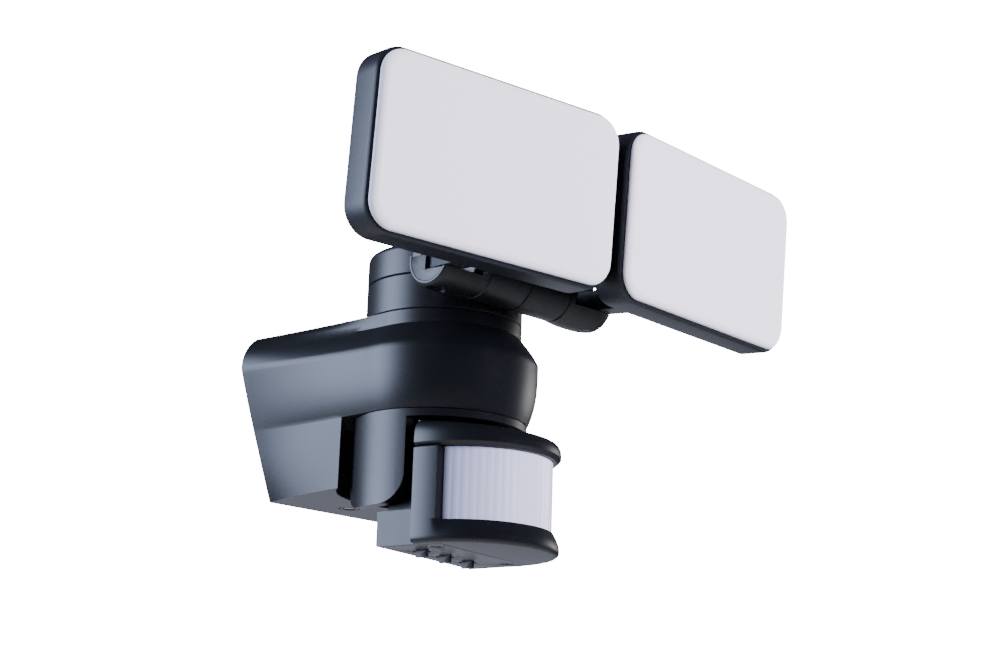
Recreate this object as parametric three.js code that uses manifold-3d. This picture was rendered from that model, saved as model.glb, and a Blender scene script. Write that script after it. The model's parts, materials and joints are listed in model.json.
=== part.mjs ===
// A twin-head LED wall floodlight with a motion sensor, as a jointed assembly.
// Millimetres, +Z up. The wall is the plane y = 0 and the light stands out from it towards -Y.
// The origin is the centre of the wall face. +X is to the right of a viewer who faces the light.

import * as THREE from 'three';
import { mergeVertices } from 'three/addons/utils/BufferGeometryUtils.js';
import Module from 'manifold-3d';

const wasm = await Module();
wasm.setup();

// ---------------------------------------------------------------- driving dimensions

const GAP = 0.3; // clearance between faces that touch
const WALL = 2.6; // moulded wall thickness

// Arm housing, measured from the swivel axis and from the seam under the turret
const REACH = 88; // wall to swivel axis
const SEAM_Z = 43; // height of the turret seam above the origin
const COLLAR_R = 40; // collar under the turret
const COLLAR_DROP = 7; // seam down to the foot of the collar
const DRUM_R = 49; // widest radius of the front drum, at the crease
const DRUM_FOOT_R = 44; // drum radius at its lower edge
const CREASE_DROP = 19.6; // seam down to the crease
const DRUM_DROP = 51.2; // seam down to the drum's lower edge
const ARM_DROP = 87; // seam down to the arm's underside
const WALL_TOP_HALF = 44; // half widths of the arm at the wall: top, crease and underside
const WALL_CREASE_HALF = 61.2;
const WALL_FOOT_HALF = 37.3;
const NOTCH_R = 51; // round clearance behind the pan rotor

// Turret and crossbar
const TURRET_R = 40;
const TURRET_SPLIT = 18.6;
const TURRET_TOP = 35;
const BAR_Y = -50; // bar axis in front of the swivel axis
const BAR_Z = 15.5; // bar axis above the seam
const BAR_R = 14.2;
const BAR_HALF = 28; // bar centre to the tilt seam
const CUP_R = 15.4;
const CUP_END = 58.2; // bar centre to the outer end of a knuckle
const LAP_Z = -6; // flat that the lamp neck turns on, from the bar axis
const NECK_X = 51.5; // bar centre to the lamp's yaw axis
const NECK_HALF = 4.7;
const NECK_HEIGHT = 11;

// Lamp heads, measured from the yaw axis
const HEAD_W = 142.4;
const HEAD_H = 85.4;
const HEAD_CORNER = 14.4;
const HEAD_OUT = 16.6; // yaw axis to the middle of the head, outwards
const HEAD_FRONT = 66.8; // yaw axis to the front of the diffuser
const HEAD_RISE = 28.8; // bar axis to the middle of the head
const HEAD_DEPTH = 20.2; // diffuser front to the housing's back
const DIFFUSER_DEPTH = 3.2;
const DIFFUSER_INSET = 1.7; // housing edge to diffuser edge
const REST_TILT = 4; // degrees, both heads look slightly down
const REST_YAW = 5.8; // degrees, each head turned outwards

// Motion sensor, measured from the pan axis
const ROTOR_R = 43.8;
const ROTOR_TOP = -51.6;
const ROTOR_PLATE = 3.8;
const EAR_FOOT = -98;
const EAR_FRONT = -9.6;
const EAR_BACK = 35;
const EAR_CORNER = 15;
const EAR_THICK = 6;
const SENSOR_R = 44.4;
const SENSOR_Y = -20.5; // centre of the sensor's round plan
const SENSOR_BACK = 6.5; // flat back of the sensor
const TAIL_HALF = 41; // half width of the flat sides behind the cheeks
const SENSOR_TOP = -58;
const SENSOR_SLOPE = 4.5; // the cap falls by this much to the front
const SENSOR_FOOT = -118.5;
const CAP_SEAM = -71.6; // underside of the cap
const WINDOW_FOOT = -107.3; // lower edge of the lens window
const LENS_R = 40.4;
const WINDOW_ANGLE = 76; // degrees to either side of straight ahead
const TILT_Y = 7; // sensor tilt axis
const TILT_Z = -77;
const RECESS_X = 32.5; // the ears stand beside the sensor's narrower back
const RECESS_Y = -16;
const RECESS_Z = -101.5;
const REST_PAN = 12; // degrees, sensor turned to the right
const KNOB_PITCH = 20;
const KNOB_R = 4.2;

// ---------------------------------------------------------------- materials

const finish = (color, roughness, metalness = 0, extra = {}) => () =>
  new THREE.MeshStandardMaterial({ color, roughness, metalness, ...extra });
const blackPlastic = finish(0x17181b, 0.5);
const lampPlastic = finish(0x272b33, 0.5);
const opal = finish(0xd9d8df, 0.4);
const milkyLens = finish(0xc9c9dc, 0.35);
const rubber = finish(0x101011, 0.8);
const steel = finish(0xb4b6b8, 0.35, 0.9);
const blackSteel = finish(0x2a2b2d, 0.45, 0.7);
const aluminium = finish(0xc6c8ca, 0.4, 0.9);
const boardGreen = finish(0x1f5a35, 0.6);
const ledBoard = finish(0xe6e6dd, 0.5);
const brass = finish(0xb99a4e, 0.35, 0.9);
const whiteNylon = finish(0xd5d5cf, 0.6);

// ---------------------------------------------------------------- solids

const radians = THREE.MathUtils.degToRad;
const mix = THREE.MathUtils.lerp;

// A closed three.js geometry as a solid, with its faces pointing out.
function toSolid(geometry) {
  const bare = geometry.clone();
  bare.deleteAttribute('normal');
  bare.deleteAttribute('uv');
  const merged = mergeVertices(bare, 1e-3);
  const places = merged.getAttribute('position').array;
  const corners = merged.index.array;
  const triangles = [];
  let volume = 0;
  const [a, b, c] = [new THREE.Vector3(), new THREE.Vector3(), new THREE.Vector3()];
  for (let i = 0; i < corners.length; i += 3) {
    const [p, q, r] = [corners[i], corners[i + 1], corners[i + 2]];
    if (p === q || q === r || r === p) continue;
    triangles.push(p, q, r);
    volume += a.fromArray(places, 3 * p).dot(b.fromArray(places, 3 * q).cross(c.fromArray(places, 3 * r)));
  }
  if (volume < 0) triangles.reverse();
  const mesh = new wasm.Mesh({
    numProp: 3,
    vertProperties: Float32Array.from(places),
    triVerts: Uint32Array.from(triangles),
  });
  mesh.merge();
  return new wasm.Manifold(mesh);
}

function block(x0, x1, y0, y1, z0, z1) {
  const geometry = new THREE.BoxGeometry(x1 - x0, y1 - y0, z1 - z0);
  geometry.translate((x0 + x1) / 2, (y0 + y1) / 2, (z0 + z1) / 2);
  return toSolid(geometry);
}

// A solid of revolution about a vertical axis, from (radius, height) points that start and end on it.
function turned(profile, x = 0, y = 0, segments = 40) {
  const geometry = new THREE.LatheGeometry(profile.map(([r, z]) => new THREE.Vector2(r, z)), segments);
  geometry.rotateX(Math.PI / 2);
  geometry.translate(x, y, 0);
  return toSolid(geometry);
}

function post(radius, z0, z1, x = 0, y = 0, segments = 40) {
  return turned([[0, z0], [radius, z0], [radius, z1], [0, z1]], x, y, segments);
}

// A round rod along X. Its profile holds (radius, x) points from axis to axis.
function rodX(profile, y, z, segments = 36) {
  const geometry = new THREE.LatheGeometry(profile.map(([r, x]) => new THREE.Vector2(r, x)), segments);
  geometry.rotateZ(-Math.PI / 2);
  geometry.translate(0, y, z);
  return toSolid(geometry);
}

function barX(radius, x0, x1, y, z, segments = 36) {
  return rodX([[0, x0], [radius, x0], [radius, x1], [0, x1]], y, z, segments);
}

function rodY(radius, y0, y1, x, z, segments = 16) {
  const geometry = new THREE.CylinderGeometry(radius, radius, y1 - y0, segments);
  geometry.translate(x, (y0 + y1) / 2, z);
  return toSolid(geometry);
}

function roundedOutline(width, height, corner, segments = 6) {
  const shape = new THREE.Shape();
  const [w, h] = [width / 2, height / 2];
  const corners = [[1, 1], [-1, 1], [-1, -1], [1, -1]];
  corners.forEach(([sx, sy], quarter) => {
    const [cx, cy] = [sx * (w - corner), sy * (h - corner)];
    for (let i = 0; i <= segments; i++) {
      const angle = (quarter + i / segments) * (Math.PI / 2);
      const [x, y] = [cx + corner * Math.cos(angle), cy + corner * Math.sin(angle)];
      if (quarter === 0 && i === 0) shape.moveTo(x, y);
      else shape.lineTo(x, y);
    }
  });
  shape.closePath();
  return shape;
}

// An outline in x and z, from y0 to y1, with optional rounded edges at both ends.
function slabXZ(shape, y0, y1, round = 0, roundSegments = 4) {
  const geometry = new THREE.ExtrudeGeometry(shape, {
    depth: y1 - y0 - 2 * round,
    bevelEnabled: round > 0,
    bevelSize: round,
    bevelThickness: round,
    bevelOffset: -round,
    bevelSegments: roundSegments,
  });
  geometry.rotateX(Math.PI / 2);
  geometry.translate(0, y1 - round, 0);
  return toSolid(geometry);
}

function slabXY(points, z0, z1) {
  const shape = new THREE.Shape(points.map(([x, y]) => new THREE.Vector2(x, y)));
  const geometry = new THREE.ExtrudeGeometry(shape, { depth: z1 - z0, bevelEnabled: false });
  geometry.translate(0, 0, z0);
  return toSolid(geometry);
}

// A plate in y and z, from x0 to x1.
function slabYZ(points, x0, x1) {
  const shape = new THREE.Shape(points.map(([y, z]) => new THREE.Vector2(y, z)));
  const geometry = new THREE.ExtrudeGeometry(shape, { depth: x1 - x0, bevelEnabled: false });
  geometry.rotateZ(Math.PI / 2);
  geometry.rotateY(Math.PI / 2);
  geometry.translate(x0, 0, 0);
  return toSolid(geometry);
}

const join = (...solids) => solids.reduce((whole, next) => whole.add(next));
const cut = (solid, ...tools) => tools.reduce((left, tool) => left.subtract(tool), solid);

function addPart(parent, name, solid, material) {
  const { vertProperties, triVerts } = solid.getMesh();
  const geometry = new THREE.BufferGeometry();
  geometry.setAttribute('position', new THREE.BufferAttribute(Float32Array.from(vertProperties), 3));
  geometry.setIndex(new THREE.BufferAttribute(Uint32Array.from(triVerts), 1));
  geometry.computeVertexNormals();
  const mesh = new THREE.Mesh(geometry, material());
  mesh.name = name;
  parent.add(mesh);
}

function addGroup(parent, x, y, z, turn = {}) {
  const group = new THREE.Group();
  group.position.set(x, y, z);
  group.rotation.set(radians(turn.x ?? 0), 0, radians(turn.z ?? 0));
  parent.add(group);
  return group;
}

// ---------------------------------------------------------------- arm housing

// How far z lies between two heights, from 0 to 1.
const share = (z, from, to) => THREE.MathUtils.clamp((z - from) / (to - from), 0, 1);

// Radius of the round front at height z: a straight collar, a soft shoulder and a drum that tucks in.
function frontRadius(z) {
  const shoulder = share(z, -COLLAR_DROP, -CREASE_DROP);
  const tuck = share(z, -CREASE_DROP, -DRUM_DROP);
  const rise = 0.7 * shoulder + 0.3 * Math.sin((shoulder * Math.PI) / 2);
  return mix(COLLAR_R, DRUM_R, rise) - (DRUM_R - DRUM_FOOT_R) * tuck ** 3;
}

// Half width of the arm at the wall at height z: a rounded shoulder over sides that lean in.
function wallHalf(z) {
  if (z > -CREASE_DROP) {
    const up = share(z, -CREASE_DROP, 0);
    return mix(WALL_TOP_HALF, WALL_CREASE_HALF, Math.sqrt(1 - up * up));
  }
  return mix(WALL_CREASE_HALF, WALL_FOOT_HALF, share(z, -CREASE_DROP, -ARM_DROP) ** 1.08);
}

function armHalf(y, z) {
  const flare = z > -CREASE_DROP ? 1.6 : 1.6 + 1.6 * share(z, -CREASE_DROP, -ARM_DROP);
  return mix(frontRadius(z), wallHalf(z), share(y, 0, REACH) ** flare);
}

// The arm's outer form moved inwards by inset, between two heights, and from the front to y = back.
function armForm(inset, floor, top, back, frontSegments, heights) {
  const outline = [];
  const sideSteps = 5;
  for (let i = 0; i < sideSteps; i++) outline.push(new THREE.Vector2(-1, back * (1 - i / sideSteps)));
  for (let i = 0; i <= frontSegments; i++) {
    const angle = Math.PI * (1 + i / frontSegments);
    outline.push(new THREE.Vector2(Math.cos(angle), DRUM_R * Math.sin(angle)));
  }
  for (let i = 1; i <= sideSteps; i++) outline.push(new THREE.Vector2(1, (back * i) / sideSteps));
  const levels = [floor, ...heights.filter((z) => z > floor + 1 && z < top - 0.5), top];
  const geometry = new THREE.ExtrudeGeometry(new THREE.Shape(outline), {
    depth: levels.length - 1,
    steps: levels.length - 1,
    bevelEnabled: false,
  });
  const places = geometry.getAttribute('position');
  for (let i = 0; i < places.count; i++) {
    const z = levels[Math.round(places.getZ(i))];
    const y = places.getY(i);
    const half = (y > 0 ? armHalf(y, z) : frontRadius(z)) - inset;
    const depth = y > 0 ? y : (y / DRUM_R) * (frontRadius(z) - inset);
    places.setXYZ(i, places.getX(i) * half, depth, z);
  }
  return toSolid(geometry);
}

const OUTER_LEVELS = [-69, -DRUM_DROP, -45, -36, -CREASE_DROP, -16, -12, -COLLAR_DROP, -3.5];
const INNER_LEVELS = [-DRUM_DROP, -36, -CREASE_DROP, -COLLAR_DROP];
const SPIGOT_R = 22; // turret spigot through the collar
const PIVOT_R = 11; // rotor spigot through the drum floor
const HOUSING_SCREW_Y = 68;
const BOARD_Z = -40;
const BOARD_POST_X = 24;
const BOARD_POST_Y = 12;

function armHousing() {
  const notchTop = -DRUM_DROP;
  const shell = cut(
    armForm(0, -ARM_DROP, -0.2, REACH, 24, OUTER_LEVELS),
    post(NOTCH_R, -ARM_DROP - 5, notchTop, 0, 0, 48),
  );
  const hollow = cut(
    armForm(WALL, WALL - ARM_DROP, -WALL - 0.2, REACH + 4, 12, INNER_LEVELS),
    post(NOTCH_R + WALL, -ARM_DROP - 5, notchTop + WALL, 0, 0, 32),
  );
  const moulded = cut(
    shell,
    hollow,
    post(SPIGOT_R + GAP, -6, 2, 0, 0, 28),
    post(PIVOT_R + GAP, -60, -40, 0, 0, 24),
    post(3.4, -ARM_DROP - 2, -ARM_DROP + 6, 0, HOUSING_SCREW_Y, 16),
  );
  const boardPost = (side) => post(3, -DRUM_DROP + 1, BOARD_Z - GAP, side * BOARD_POST_X, BOARD_POST_Y, 12);
  const boardPosts = [-1, 1].map(boardPost);
  return join(moulded, ...boardPosts);
}

// ---------------------------------------------------------------- assembly

const floodlight = new THREE.Group();
const core = addGroup(floodlight, 0, -REACH, SEAM_Z);

// Wall side: bracket, seal, cable entry and electrics. These stay with the wall.

const BRACKET_FRONT = REACH - 2;
const BRACKET_BACK = REACH;
const ENTRY_Z = -66;
const ENTRY_R = 9.4;
const TAB_Z = -80;

// Outline of the housing's open back, moved inwards by margin.
function backOutline(margin) {
  const [low, high] = [WALL - ARM_DROP + GAP + margin, -WALL - 0.5 - margin];
  const heights = [low, ...INNER_LEVELS, high];
  const half = (z) => armHalf(REACH, z) - WALL - margin - 1.8;
  const right = heights.map((z) => new THREE.Vector2(half(z), z));
  const left = heights.map((z) => new THREE.Vector2(-half(z), z)).reverse();
  return new THREE.Shape([...right, ...left]);
}

function screwSlot(x, z) {
  const shape = roundedOutline(11, 4.8, 2.3, 4);
  const slot = slabXZ(shape, REACH - 6, REACH + 6);
  return slot.translate(x, 0, z);
}

function wallBracket() {
  const plate = cut(
    slabXZ(backOutline(3.6), BRACKET_FRONT, BRACKET_BACK),
    rodY(ENTRY_R, REACH - 6, REACH + 6, 0, ENTRY_Z, 24),
    ...[[-26, -26], [26, -26], [-20, -66], [20, -66]].map(([x, z]) => screwSlot(x, z)),
  );
  const tab = cut(
    block(-9, 9, HOUSING_SCREW_Y - 8, BRACKET_FRONT + 0.5, TAB_Z, TAB_Z + 2),
    post(2.2, TAB_Z - 1, TAB_Z + 3, 0, HOUSING_SCREW_Y, 16),
  );
  return join(plate, tab);
}

function wallGasket() {
  return cut(
    slabXZ(backOutline(0), REACH - 1.9, BRACKET_BACK),
    slabXZ(backOutline(3), REACH - 4, REACH + 1),
  );
}

function cableGrommet() {
  return cut(
    join(
      rodY(ENTRY_R - GAP, BRACKET_FRONT - 1, BRACKET_BACK, 0, ENTRY_Z, 24),
      rodY(ENTRY_R + 2.4, BRACKET_FRONT - 4, BRACKET_FRONT - GAP, 0, ENTRY_Z, 24),
    ),
    rodY(3.6, BRACKET_FRONT - 8, REACH + 2, 0, ENTRY_Z, 16),
  );
}

function terminalBlock() {
  const ways = [-9, 0, 9].map((x) => rodY(2, REACH - 30, REACH - 8, x, -21, 10));
  const screws = [-9, 0, 9].map((x) => post(1.8, -17, -10, x, REACH - 10, 10));
  return cut(block(-14, 14, REACH - 18, BRACKET_FRONT - GAP, -27, -15), ...ways, ...screws);
}

function driverBoard() {
  const board = cut(
    block(-32, 32, -18, 60, BOARD_Z, BOARD_Z + 1.6),
    ...[-1, 1].map((side) => post(1.7, BOARD_Z - 1, BOARD_Z + 3, side * BOARD_POST_X, BOARD_POST_Y, 10)),
  );
  const top = BOARD_Z + 1.2;
  return join(
    board,
    block(-16, 8, 30, 52, top, top + 17),
    post(6, top, top + 17, 20, 42, 16),
    post(4.5, top, top + 12, 22, 26, 16),
    block(-26, -10, -12, 0, top, top + 12),
    block(10, 26, -12, -4, top, top + 8),
  );
}

function screwUp(headR, shankR, headZ, headHeight, tipZ, x, y) {
  const screw = turned(
    [
      [0, headZ], [headR, headZ], [headR, headZ + headHeight],
      [shankR, headZ + headHeight], [shankR, tipZ], [0, tipZ],
    ],
    x,
    y,
    12,
  );
  const slot = block(x - headR, x + headR, y - 0.4, y + 0.4, headZ - 1, headZ + headHeight * 0.4);
  return cut(screw, slot);
}

addPart(core, 'arm_housing', armHousing(), blackPlastic);
addPart(core, 'wall_bracket', wallBracket(), steel);
addPart(core, 'wall_gasket', wallGasket(), rubber);
addPart(core, 'cable_grommet', cableGrommet(), rubber);
addPart(core, 'terminal_block', terminalBlock(), whiteNylon);
addPart(core, 'driver_board', driverBoard(), boardGreen);
addPart(core, 'housing_screw', screwUp(3.1, 1.9, 0.4 - ARM_DROP, 2, -72, 0, HOUSING_SCREW_Y), steel);

// ---------------------------------------------------------------- turret and crossbar

const TURRET_WALL = 3;
const WINDOW_X = 12; // half width of the wire window between turret and bar
const WINDOW_Z = [6, 25];

const barBore = barX(BAR_R + GAP, -BAR_HALF - 2, BAR_HALF + 2, BAR_Y, BAR_Z, 28);
const wireWindow = block(-WINDOW_X - GAP, WINDOW_X + GAP, -45, -30, WINDOW_Z[0] - GAP, WINDOW_Z[1] + GAP);

function turretBody() {
  const [inner, floor, top] = [TURRET_R - TURRET_WALL, 0.2 + TURRET_WALL, TURRET_SPLIT - 0.2];
  const form = turned([
    [17, -8], [SPIGOT_R, -8], [SPIGOT_R, 0.2], [TURRET_R, 0.2],
    [TURRET_R, top], [inner, top], [inner, floor], [17, floor],
    [17, -8],
  ]);
  return cut(form, barBore, wireWindow);
}

function turretCap() {
  const [inner, foot, round] = [TURRET_R - TURRET_WALL, TURRET_SPLIT + 0.2, 3.2];
  const edge = [0, 1, 2, 3].map((i) => {
    const angle = (i / 3) * (Math.PI / 2);
    return [TURRET_R - round + round * Math.cos(angle), TURRET_TOP - round + round * Math.sin(angle)];
  });
  const form = turned([
    [0, TURRET_TOP - TURRET_WALL], [inner, TURRET_TOP - TURRET_WALL],
    [inner, foot], [TURRET_R, foot], ...edge, [0, TURRET_TOP],
  ]);
  return cut(form, barBore, wireWindow);
}

function turretRetainer() {
  const bore = SPIGOT_R + GAP;
  return turned([[bore, -6.5], [27, -6.5], [27, -3.4], [bore, -3.4], [bore, -6.5]], 0, 0, 32);
}

// Half of the crossbar. Its block enters the turret's window, and the wires pass through both.
function barShell(side) {
  const [near, far] = [0.15 * side, (BAR_HALF - 0.15) * side];
  const tube = barX(BAR_R, near, far, BAR_Y, BAR_Z, 28);
  const boss = block(...spanX(near, side * WINDOW_X), -42, -34, ...WINDOW_Z);
  return cut(
    join(tube, boss),
    barX(BAR_R - 2.4, 2.4 * side, (BAR_HALF - 3) * side, BAR_Y, BAR_Z, 20),
    barX(4.3, 20 * side, (BAR_HALF + 2) * side, BAR_Y, BAR_Z, 14),
    block(...spanX(3 * side, 9.5 * side), -50, -30, WINDOW_Z[0] + 2.5, WINDOW_Z[1] - 2.5),
  );
}

function spanX(a, b) {
  return [Math.min(a, b), Math.max(a, b)];
}

// Hollow tilt bolt along the bar, with its head inside the knuckle.
function tiltBolt(side) {
  const profile = [[0, 19], [4, 19], [4, 31.4], [7.5, 31.4], [7.5, 34], [0, 34]];
  return rodX(profile.map(([r, x]) => [r, x * side]), BAR_Y, BAR_Z, 14);
}

function tiltNut(side) {
  return cut(
    barX(8, 20.5 * side, 24.6 * side, BAR_Y, BAR_Z, 6),
    barX(4.2, 18 * side, 27 * side, BAR_Y, BAR_Z, 14),
  );
}

addPart(core, 'turret_body', turretBody(), blackPlastic);
addPart(core, 'turret_cap', turretCap(), blackPlastic);
addPart(core, 'turret_retainer', turretRetainer(), whiteNylon);
for (const [sideName, side] of [['left', -1], ['right', 1]]) {
  addPart(core, `${sideName}_bar_shell`, barShell(side), blackPlastic);
  addPart(core, `${sideName}_tilt_bolt`, tiltBolt(side), steel);
  addPart(core, `${sideName}_tilt_nut`, tiltNut(side), steel);
}

// ---------------------------------------------------------------- knuckles and lamp heads

const END_WALL = 56.5; // inner face of the knuckle's outer wall
const CAP_R = 12.2;
const CUP_REAR = 8.5; // front of the knuckle's rear wall
const REAR_TOP = 6; // top of the knuckle's rear wall

// Lower bowl that carries the lamp's neck. Its full disc turns on the bar, and its outer wall is cut
// away in front so that the neck can swing.
function knuckle(side) {
  const profile = [
    [0, 28.15], [BAR_R, 28.15], [14.7, 32], [CUP_R, 40],
    [CUP_R, 50], [14.8, 55], [14.1, CUP_END - 0.8], [13.4, CUP_END],
    [0, CUP_END],
  ];
  const form = rodX(profile.map(([r, x]) => [r, x * side]), 0, 0, 28);
  const reach = CUP_R + 2;
  return cut(
    form,
    block(...spanX(31 * side, END_WALL * side), -reach, CUP_REAR, LAP_Z, reach),
    block(...spanX(31 * side, END_WALL * side), 0, reach, REAR_TOP, reach),
    block(...spanX((END_WALL - 1) * side, (CUP_END + 1) * side), -reach, 1.5, LAP_Z, reach),
    block(...spanX((END_WALL - 1) * side, (CUP_END + 1) * side), -reach, reach, 1.3, reach),
    barX(CAP_R + 0.2, (CUP_END - 0.9) * side, (CUP_END + 1) * side, 0, 0, 24),
    barX(4.3, 27 * side, 32 * side, 0, 0, 14),
    barX(11, 31 * side, 42 * side, 0, 0, 18),
    post(3.1, -20, 0, side * NECK_X, 0, 12),
    post(4.9, -20, -11, side * NECK_X, 0, 12),
  );
}

// Thin cover over the knuckle's open end.
function knuckleCap(side) {
  const disc = barX(CAP_R, (CUP_END - 0.7) * side, (CUP_END - 0.1) * side, 0, 0, 24);
  const x = spanX((CUP_END - 2) * side, (CUP_END + 1) * side);
  return cut(disc, block(...x, -20, 20, 1, 20), block(...x, -20, 1.8, LAP_Z - 0.3, 20));
}

function yawNut() {
  return cut(post(4.6, NECK_HEIGHT / 2 + 0.1, NECK_HEIGHT / 2 + 3.2, 0, 0, 6), post(3, 0, 12, 0, 0, 10));
}

// Back of the lamp: y of the housing's rear face from the yaw axis.
const LAMP_BACK = HEAD_DEPTH - HEAD_FRONT;
const RIM_Y = DIFFUSER_DEPTH - HEAD_FRONT;
const HOUSING_W = HEAD_W + 1;
const HOUSING_H = HEAD_H + 1;

function lampNeck() {
  const [low, high] = [LAP_Z + 0.35, NECK_HEIGHT + LAP_Z + 0.35];
  const plate = LAMP_BACK + GAP;
  const stem = slabXY([[-NECK_HALF, 0], [-7.2, plate + 2], [7.2, plate + 2], [NECK_HALF, 0]], low, high);
  return cut(
    join(stem, post(NECK_HALF, low, high, 0, 0, 18), block(-16, 16, plate, plate + 3.2, low - 2.5, high + 8)),
    post(3, -20, 20, 0, 0, 12),
  );
}

function lampSlab(inset, y0, y1, round = 0) {
  const shape = roundedOutline(HOUSING_W - 2 * inset, HOUSING_H - 2 * inset, HEAD_CORNER - inset, 4);
  return slabXZ(shape, y0, y1, round, 2);
}

const CORNERS = [[-1, -1], [1, -1], [-1, 1], [1, 1]];
const SCREW_AT = CORNERS.map(([x, z]) => [x * (HEAD_W / 2 - 13), z * (HEAD_H / 2 - 13)]);

function lampHousing() {
  const outer = cut(lampSlab(0, RIM_Y - 6, LAMP_BACK, 1.4), block(-90, 90, RIM_Y - 10, RIM_Y + 0.2, -60, 60));
  return cut(
    outer,
    lampSlab(2.4, RIM_Y - 8, LAMP_BACK - 2.6),
    ...SCREW_AT.map(([x, z]) => rodY(1.9, LAMP_BACK - 6, LAMP_BACK + 2, x, z, 8)),
    ...SCREW_AT.map(([x, z]) => rodY(3.6, LAMP_BACK - 1.1, LAMP_BACK + 2, x, z, 10)),
  );
}

function diffuser() {
  const clear = block(-90, 90, RIM_Y, RIM_Y + 12, -60, 60);
  const dome = cut(lampSlab(DIFFUSER_INSET, -HEAD_FRONT, RIM_Y + 6, 3), clear);
  return cut(dome, lampSlab(DIFFUSER_INSET + 2.7, 1.8 - HEAD_FRONT, RIM_Y + 3));
}

function lampGasket() {
  const [y0, y1] = [RIM_Y + 0.3, RIM_Y + 2.6];
  return cut(lampSlab(2.7, y0, y1), lampSlab(5.6, y0 - 1, y1 + 1));
}

function ledPanel() {
  const y = RIM_Y + 3;
  const leds = [];
  for (let column = -2; column <= 2; column++) {
    for (let row = -1; row <= 1; row++) leds.push([column * 25, row * 21]);
  }
  const bumps = leds.map(([x, z]) => block(x - 1.7, x + 1.7, y - 0.8, y + 0.4, z - 1.4, z + 1.4));
  return join(block(-66, 66, y, y + 1.6, -36, 36), ...bumps);
}

function heatSpreader() {
  const y = RIM_Y + 4.9;
  const ribs = [-44, -22, 0, 22, 44].map((x) => block(x - 1, x + 1, y + 1, y + 5, -30, 30));
  return join(block(-66, 66, y, y + 2, -36, 36), ...ribs);
}

function lampScrew(x, z) {
  const head = rodY(3.1, LAMP_BACK - 0.8, LAMP_BACK + 0.3, x, z, 10);
  const cross = block(x - 2, x + 2, LAMP_BACK - 0.3, LAMP_BACK + 1, z - 0.35, z + 0.35);
  return cut(join(head, rodY(1.5, LAMP_BACK - 4, LAMP_BACK - 0.5, x, z, 8)), cross);
}

for (const [sideName, side] of [['left', -1], ['right', 1]]) {
  const arm = addGroup(core, 0, BAR_Y, BAR_Z, { x: REST_TILT });
  addPart(arm, `${sideName}_knuckle`, knuckle(side), blackPlastic);
  addPart(arm, `${sideName}_knuckle_cap`, knuckleCap(side), blackPlastic);
  addPart(arm, `${sideName}_yaw_bolt`, screwUp(4.5, 2.7, -14.1, 2.8, 10, side * NECK_X, 0), blackSteel);
  const yaw = addGroup(arm, side * NECK_X, 0, 0, { z: side * REST_YAW });
  addPart(yaw, `${sideName}_yaw_nut`, yawNut(), blackSteel);
  addPart(yaw, `${sideName}_neck`, lampNeck(), lampPlastic);
  const lamp = addGroup(yaw, side * HEAD_OUT, 0, HEAD_RISE);
  addPart(lamp, `${sideName}_lamp_housing`, lampHousing(), lampPlastic);
  addPart(lamp, `${sideName}_diffuser`, diffuser(), opal);
  addPart(lamp, `${sideName}_lamp_gasket`, lampGasket(), rubber);
  addPart(lamp, `${sideName}_led_panel`, ledPanel(), ledBoard);
  addPart(lamp, `${sideName}_heat_spreader`, heatSpreader(), aluminium);
  SCREW_AT.forEach(([x, z], i) => addPart(lamp, `${sideName}_lamp_screw_${i + 1}`, lampScrew(x, z), steel));
}

// ---------------------------------------------------------------- motion sensor

const pan = addGroup(core, 0, 0, 0, { z: REST_PAN });

const PIN_END = 40.6; // the tilt pins stop short of the ears' outer faces

// Outline of one ear, seen from the side, with rounded lower corners.
function earOutline() {
  const corner = (y, fromAngle) => {
    const points = [];
    for (let i = 0; i <= 5; i++) {
      const angle = radians(fromAngle + 18 * i);
      points.push([y + EAR_CORNER * Math.cos(angle), EAR_FOOT + EAR_CORNER + EAR_CORNER * Math.sin(angle)]);
    }
    return points;
  };
  const top = ROTOR_TOP - 1;
  return [
    [EAR_FRONT, top],
    ...corner(EAR_FRONT + EAR_CORNER, 180),
    ...corner(EAR_BACK - EAR_CORNER, 270),
    [EAR_BACK, top],
  ];
}

function panRotor() {
  const skirt = cut(
    post(ROTOR_R, EAR_FOOT, ROTOR_TOP, 0, 0, 44),
    post(ROTOR_R - EAR_THICK, EAR_FOOT - 1, ROTOR_TOP - ROTOR_PLATE, 0, 0, 36),
  );
  const ears = skirt.intersect(slabYZ(earOutline(), -60, 60));
  const plate = post(ROTOR_R, ROTOR_TOP - ROTOR_PLATE, ROTOR_TOP, 0, 0, 44);
  const spigot = post(PIVOT_R, ROTOR_TOP - 1, -44, 0, 0, 24);
  const hubs = [-1, 1].map((side) =>
    barX(8.5, side * (RECESS_X + 0.4), side * (ROTOR_R - EAR_THICK + 2), TILT_Y, TILT_Z, 20),
  );
  return cut(
    join(ears, plate, spigot, ...hubs),
    post(5, -70, -40, 0, 0, 16),
    barX(2.8, -PIN_END - 0.3, PIN_END + 0.3, TILT_Y, TILT_Z, 12),
  );
}

function panRetainer() {
  const [r, z] = [PIVOT_R + GAP, -WALL];
  const foot = -DRUM_DROP - z + GAP;
  return turned([[r, foot], [16, foot], [16, foot + 2.6], [r, foot + 2.6], [r, foot]], 0, 0, 28);
}

function tiltPin(side) {
  const profile = [[0, 26], [2.5, 26], [2.5, PIN_END], [0, PIN_END]];
  return rodX(profile.map(([r, x]) => [r, x * side]), TILT_Y, TILT_Z, 14);
}

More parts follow.
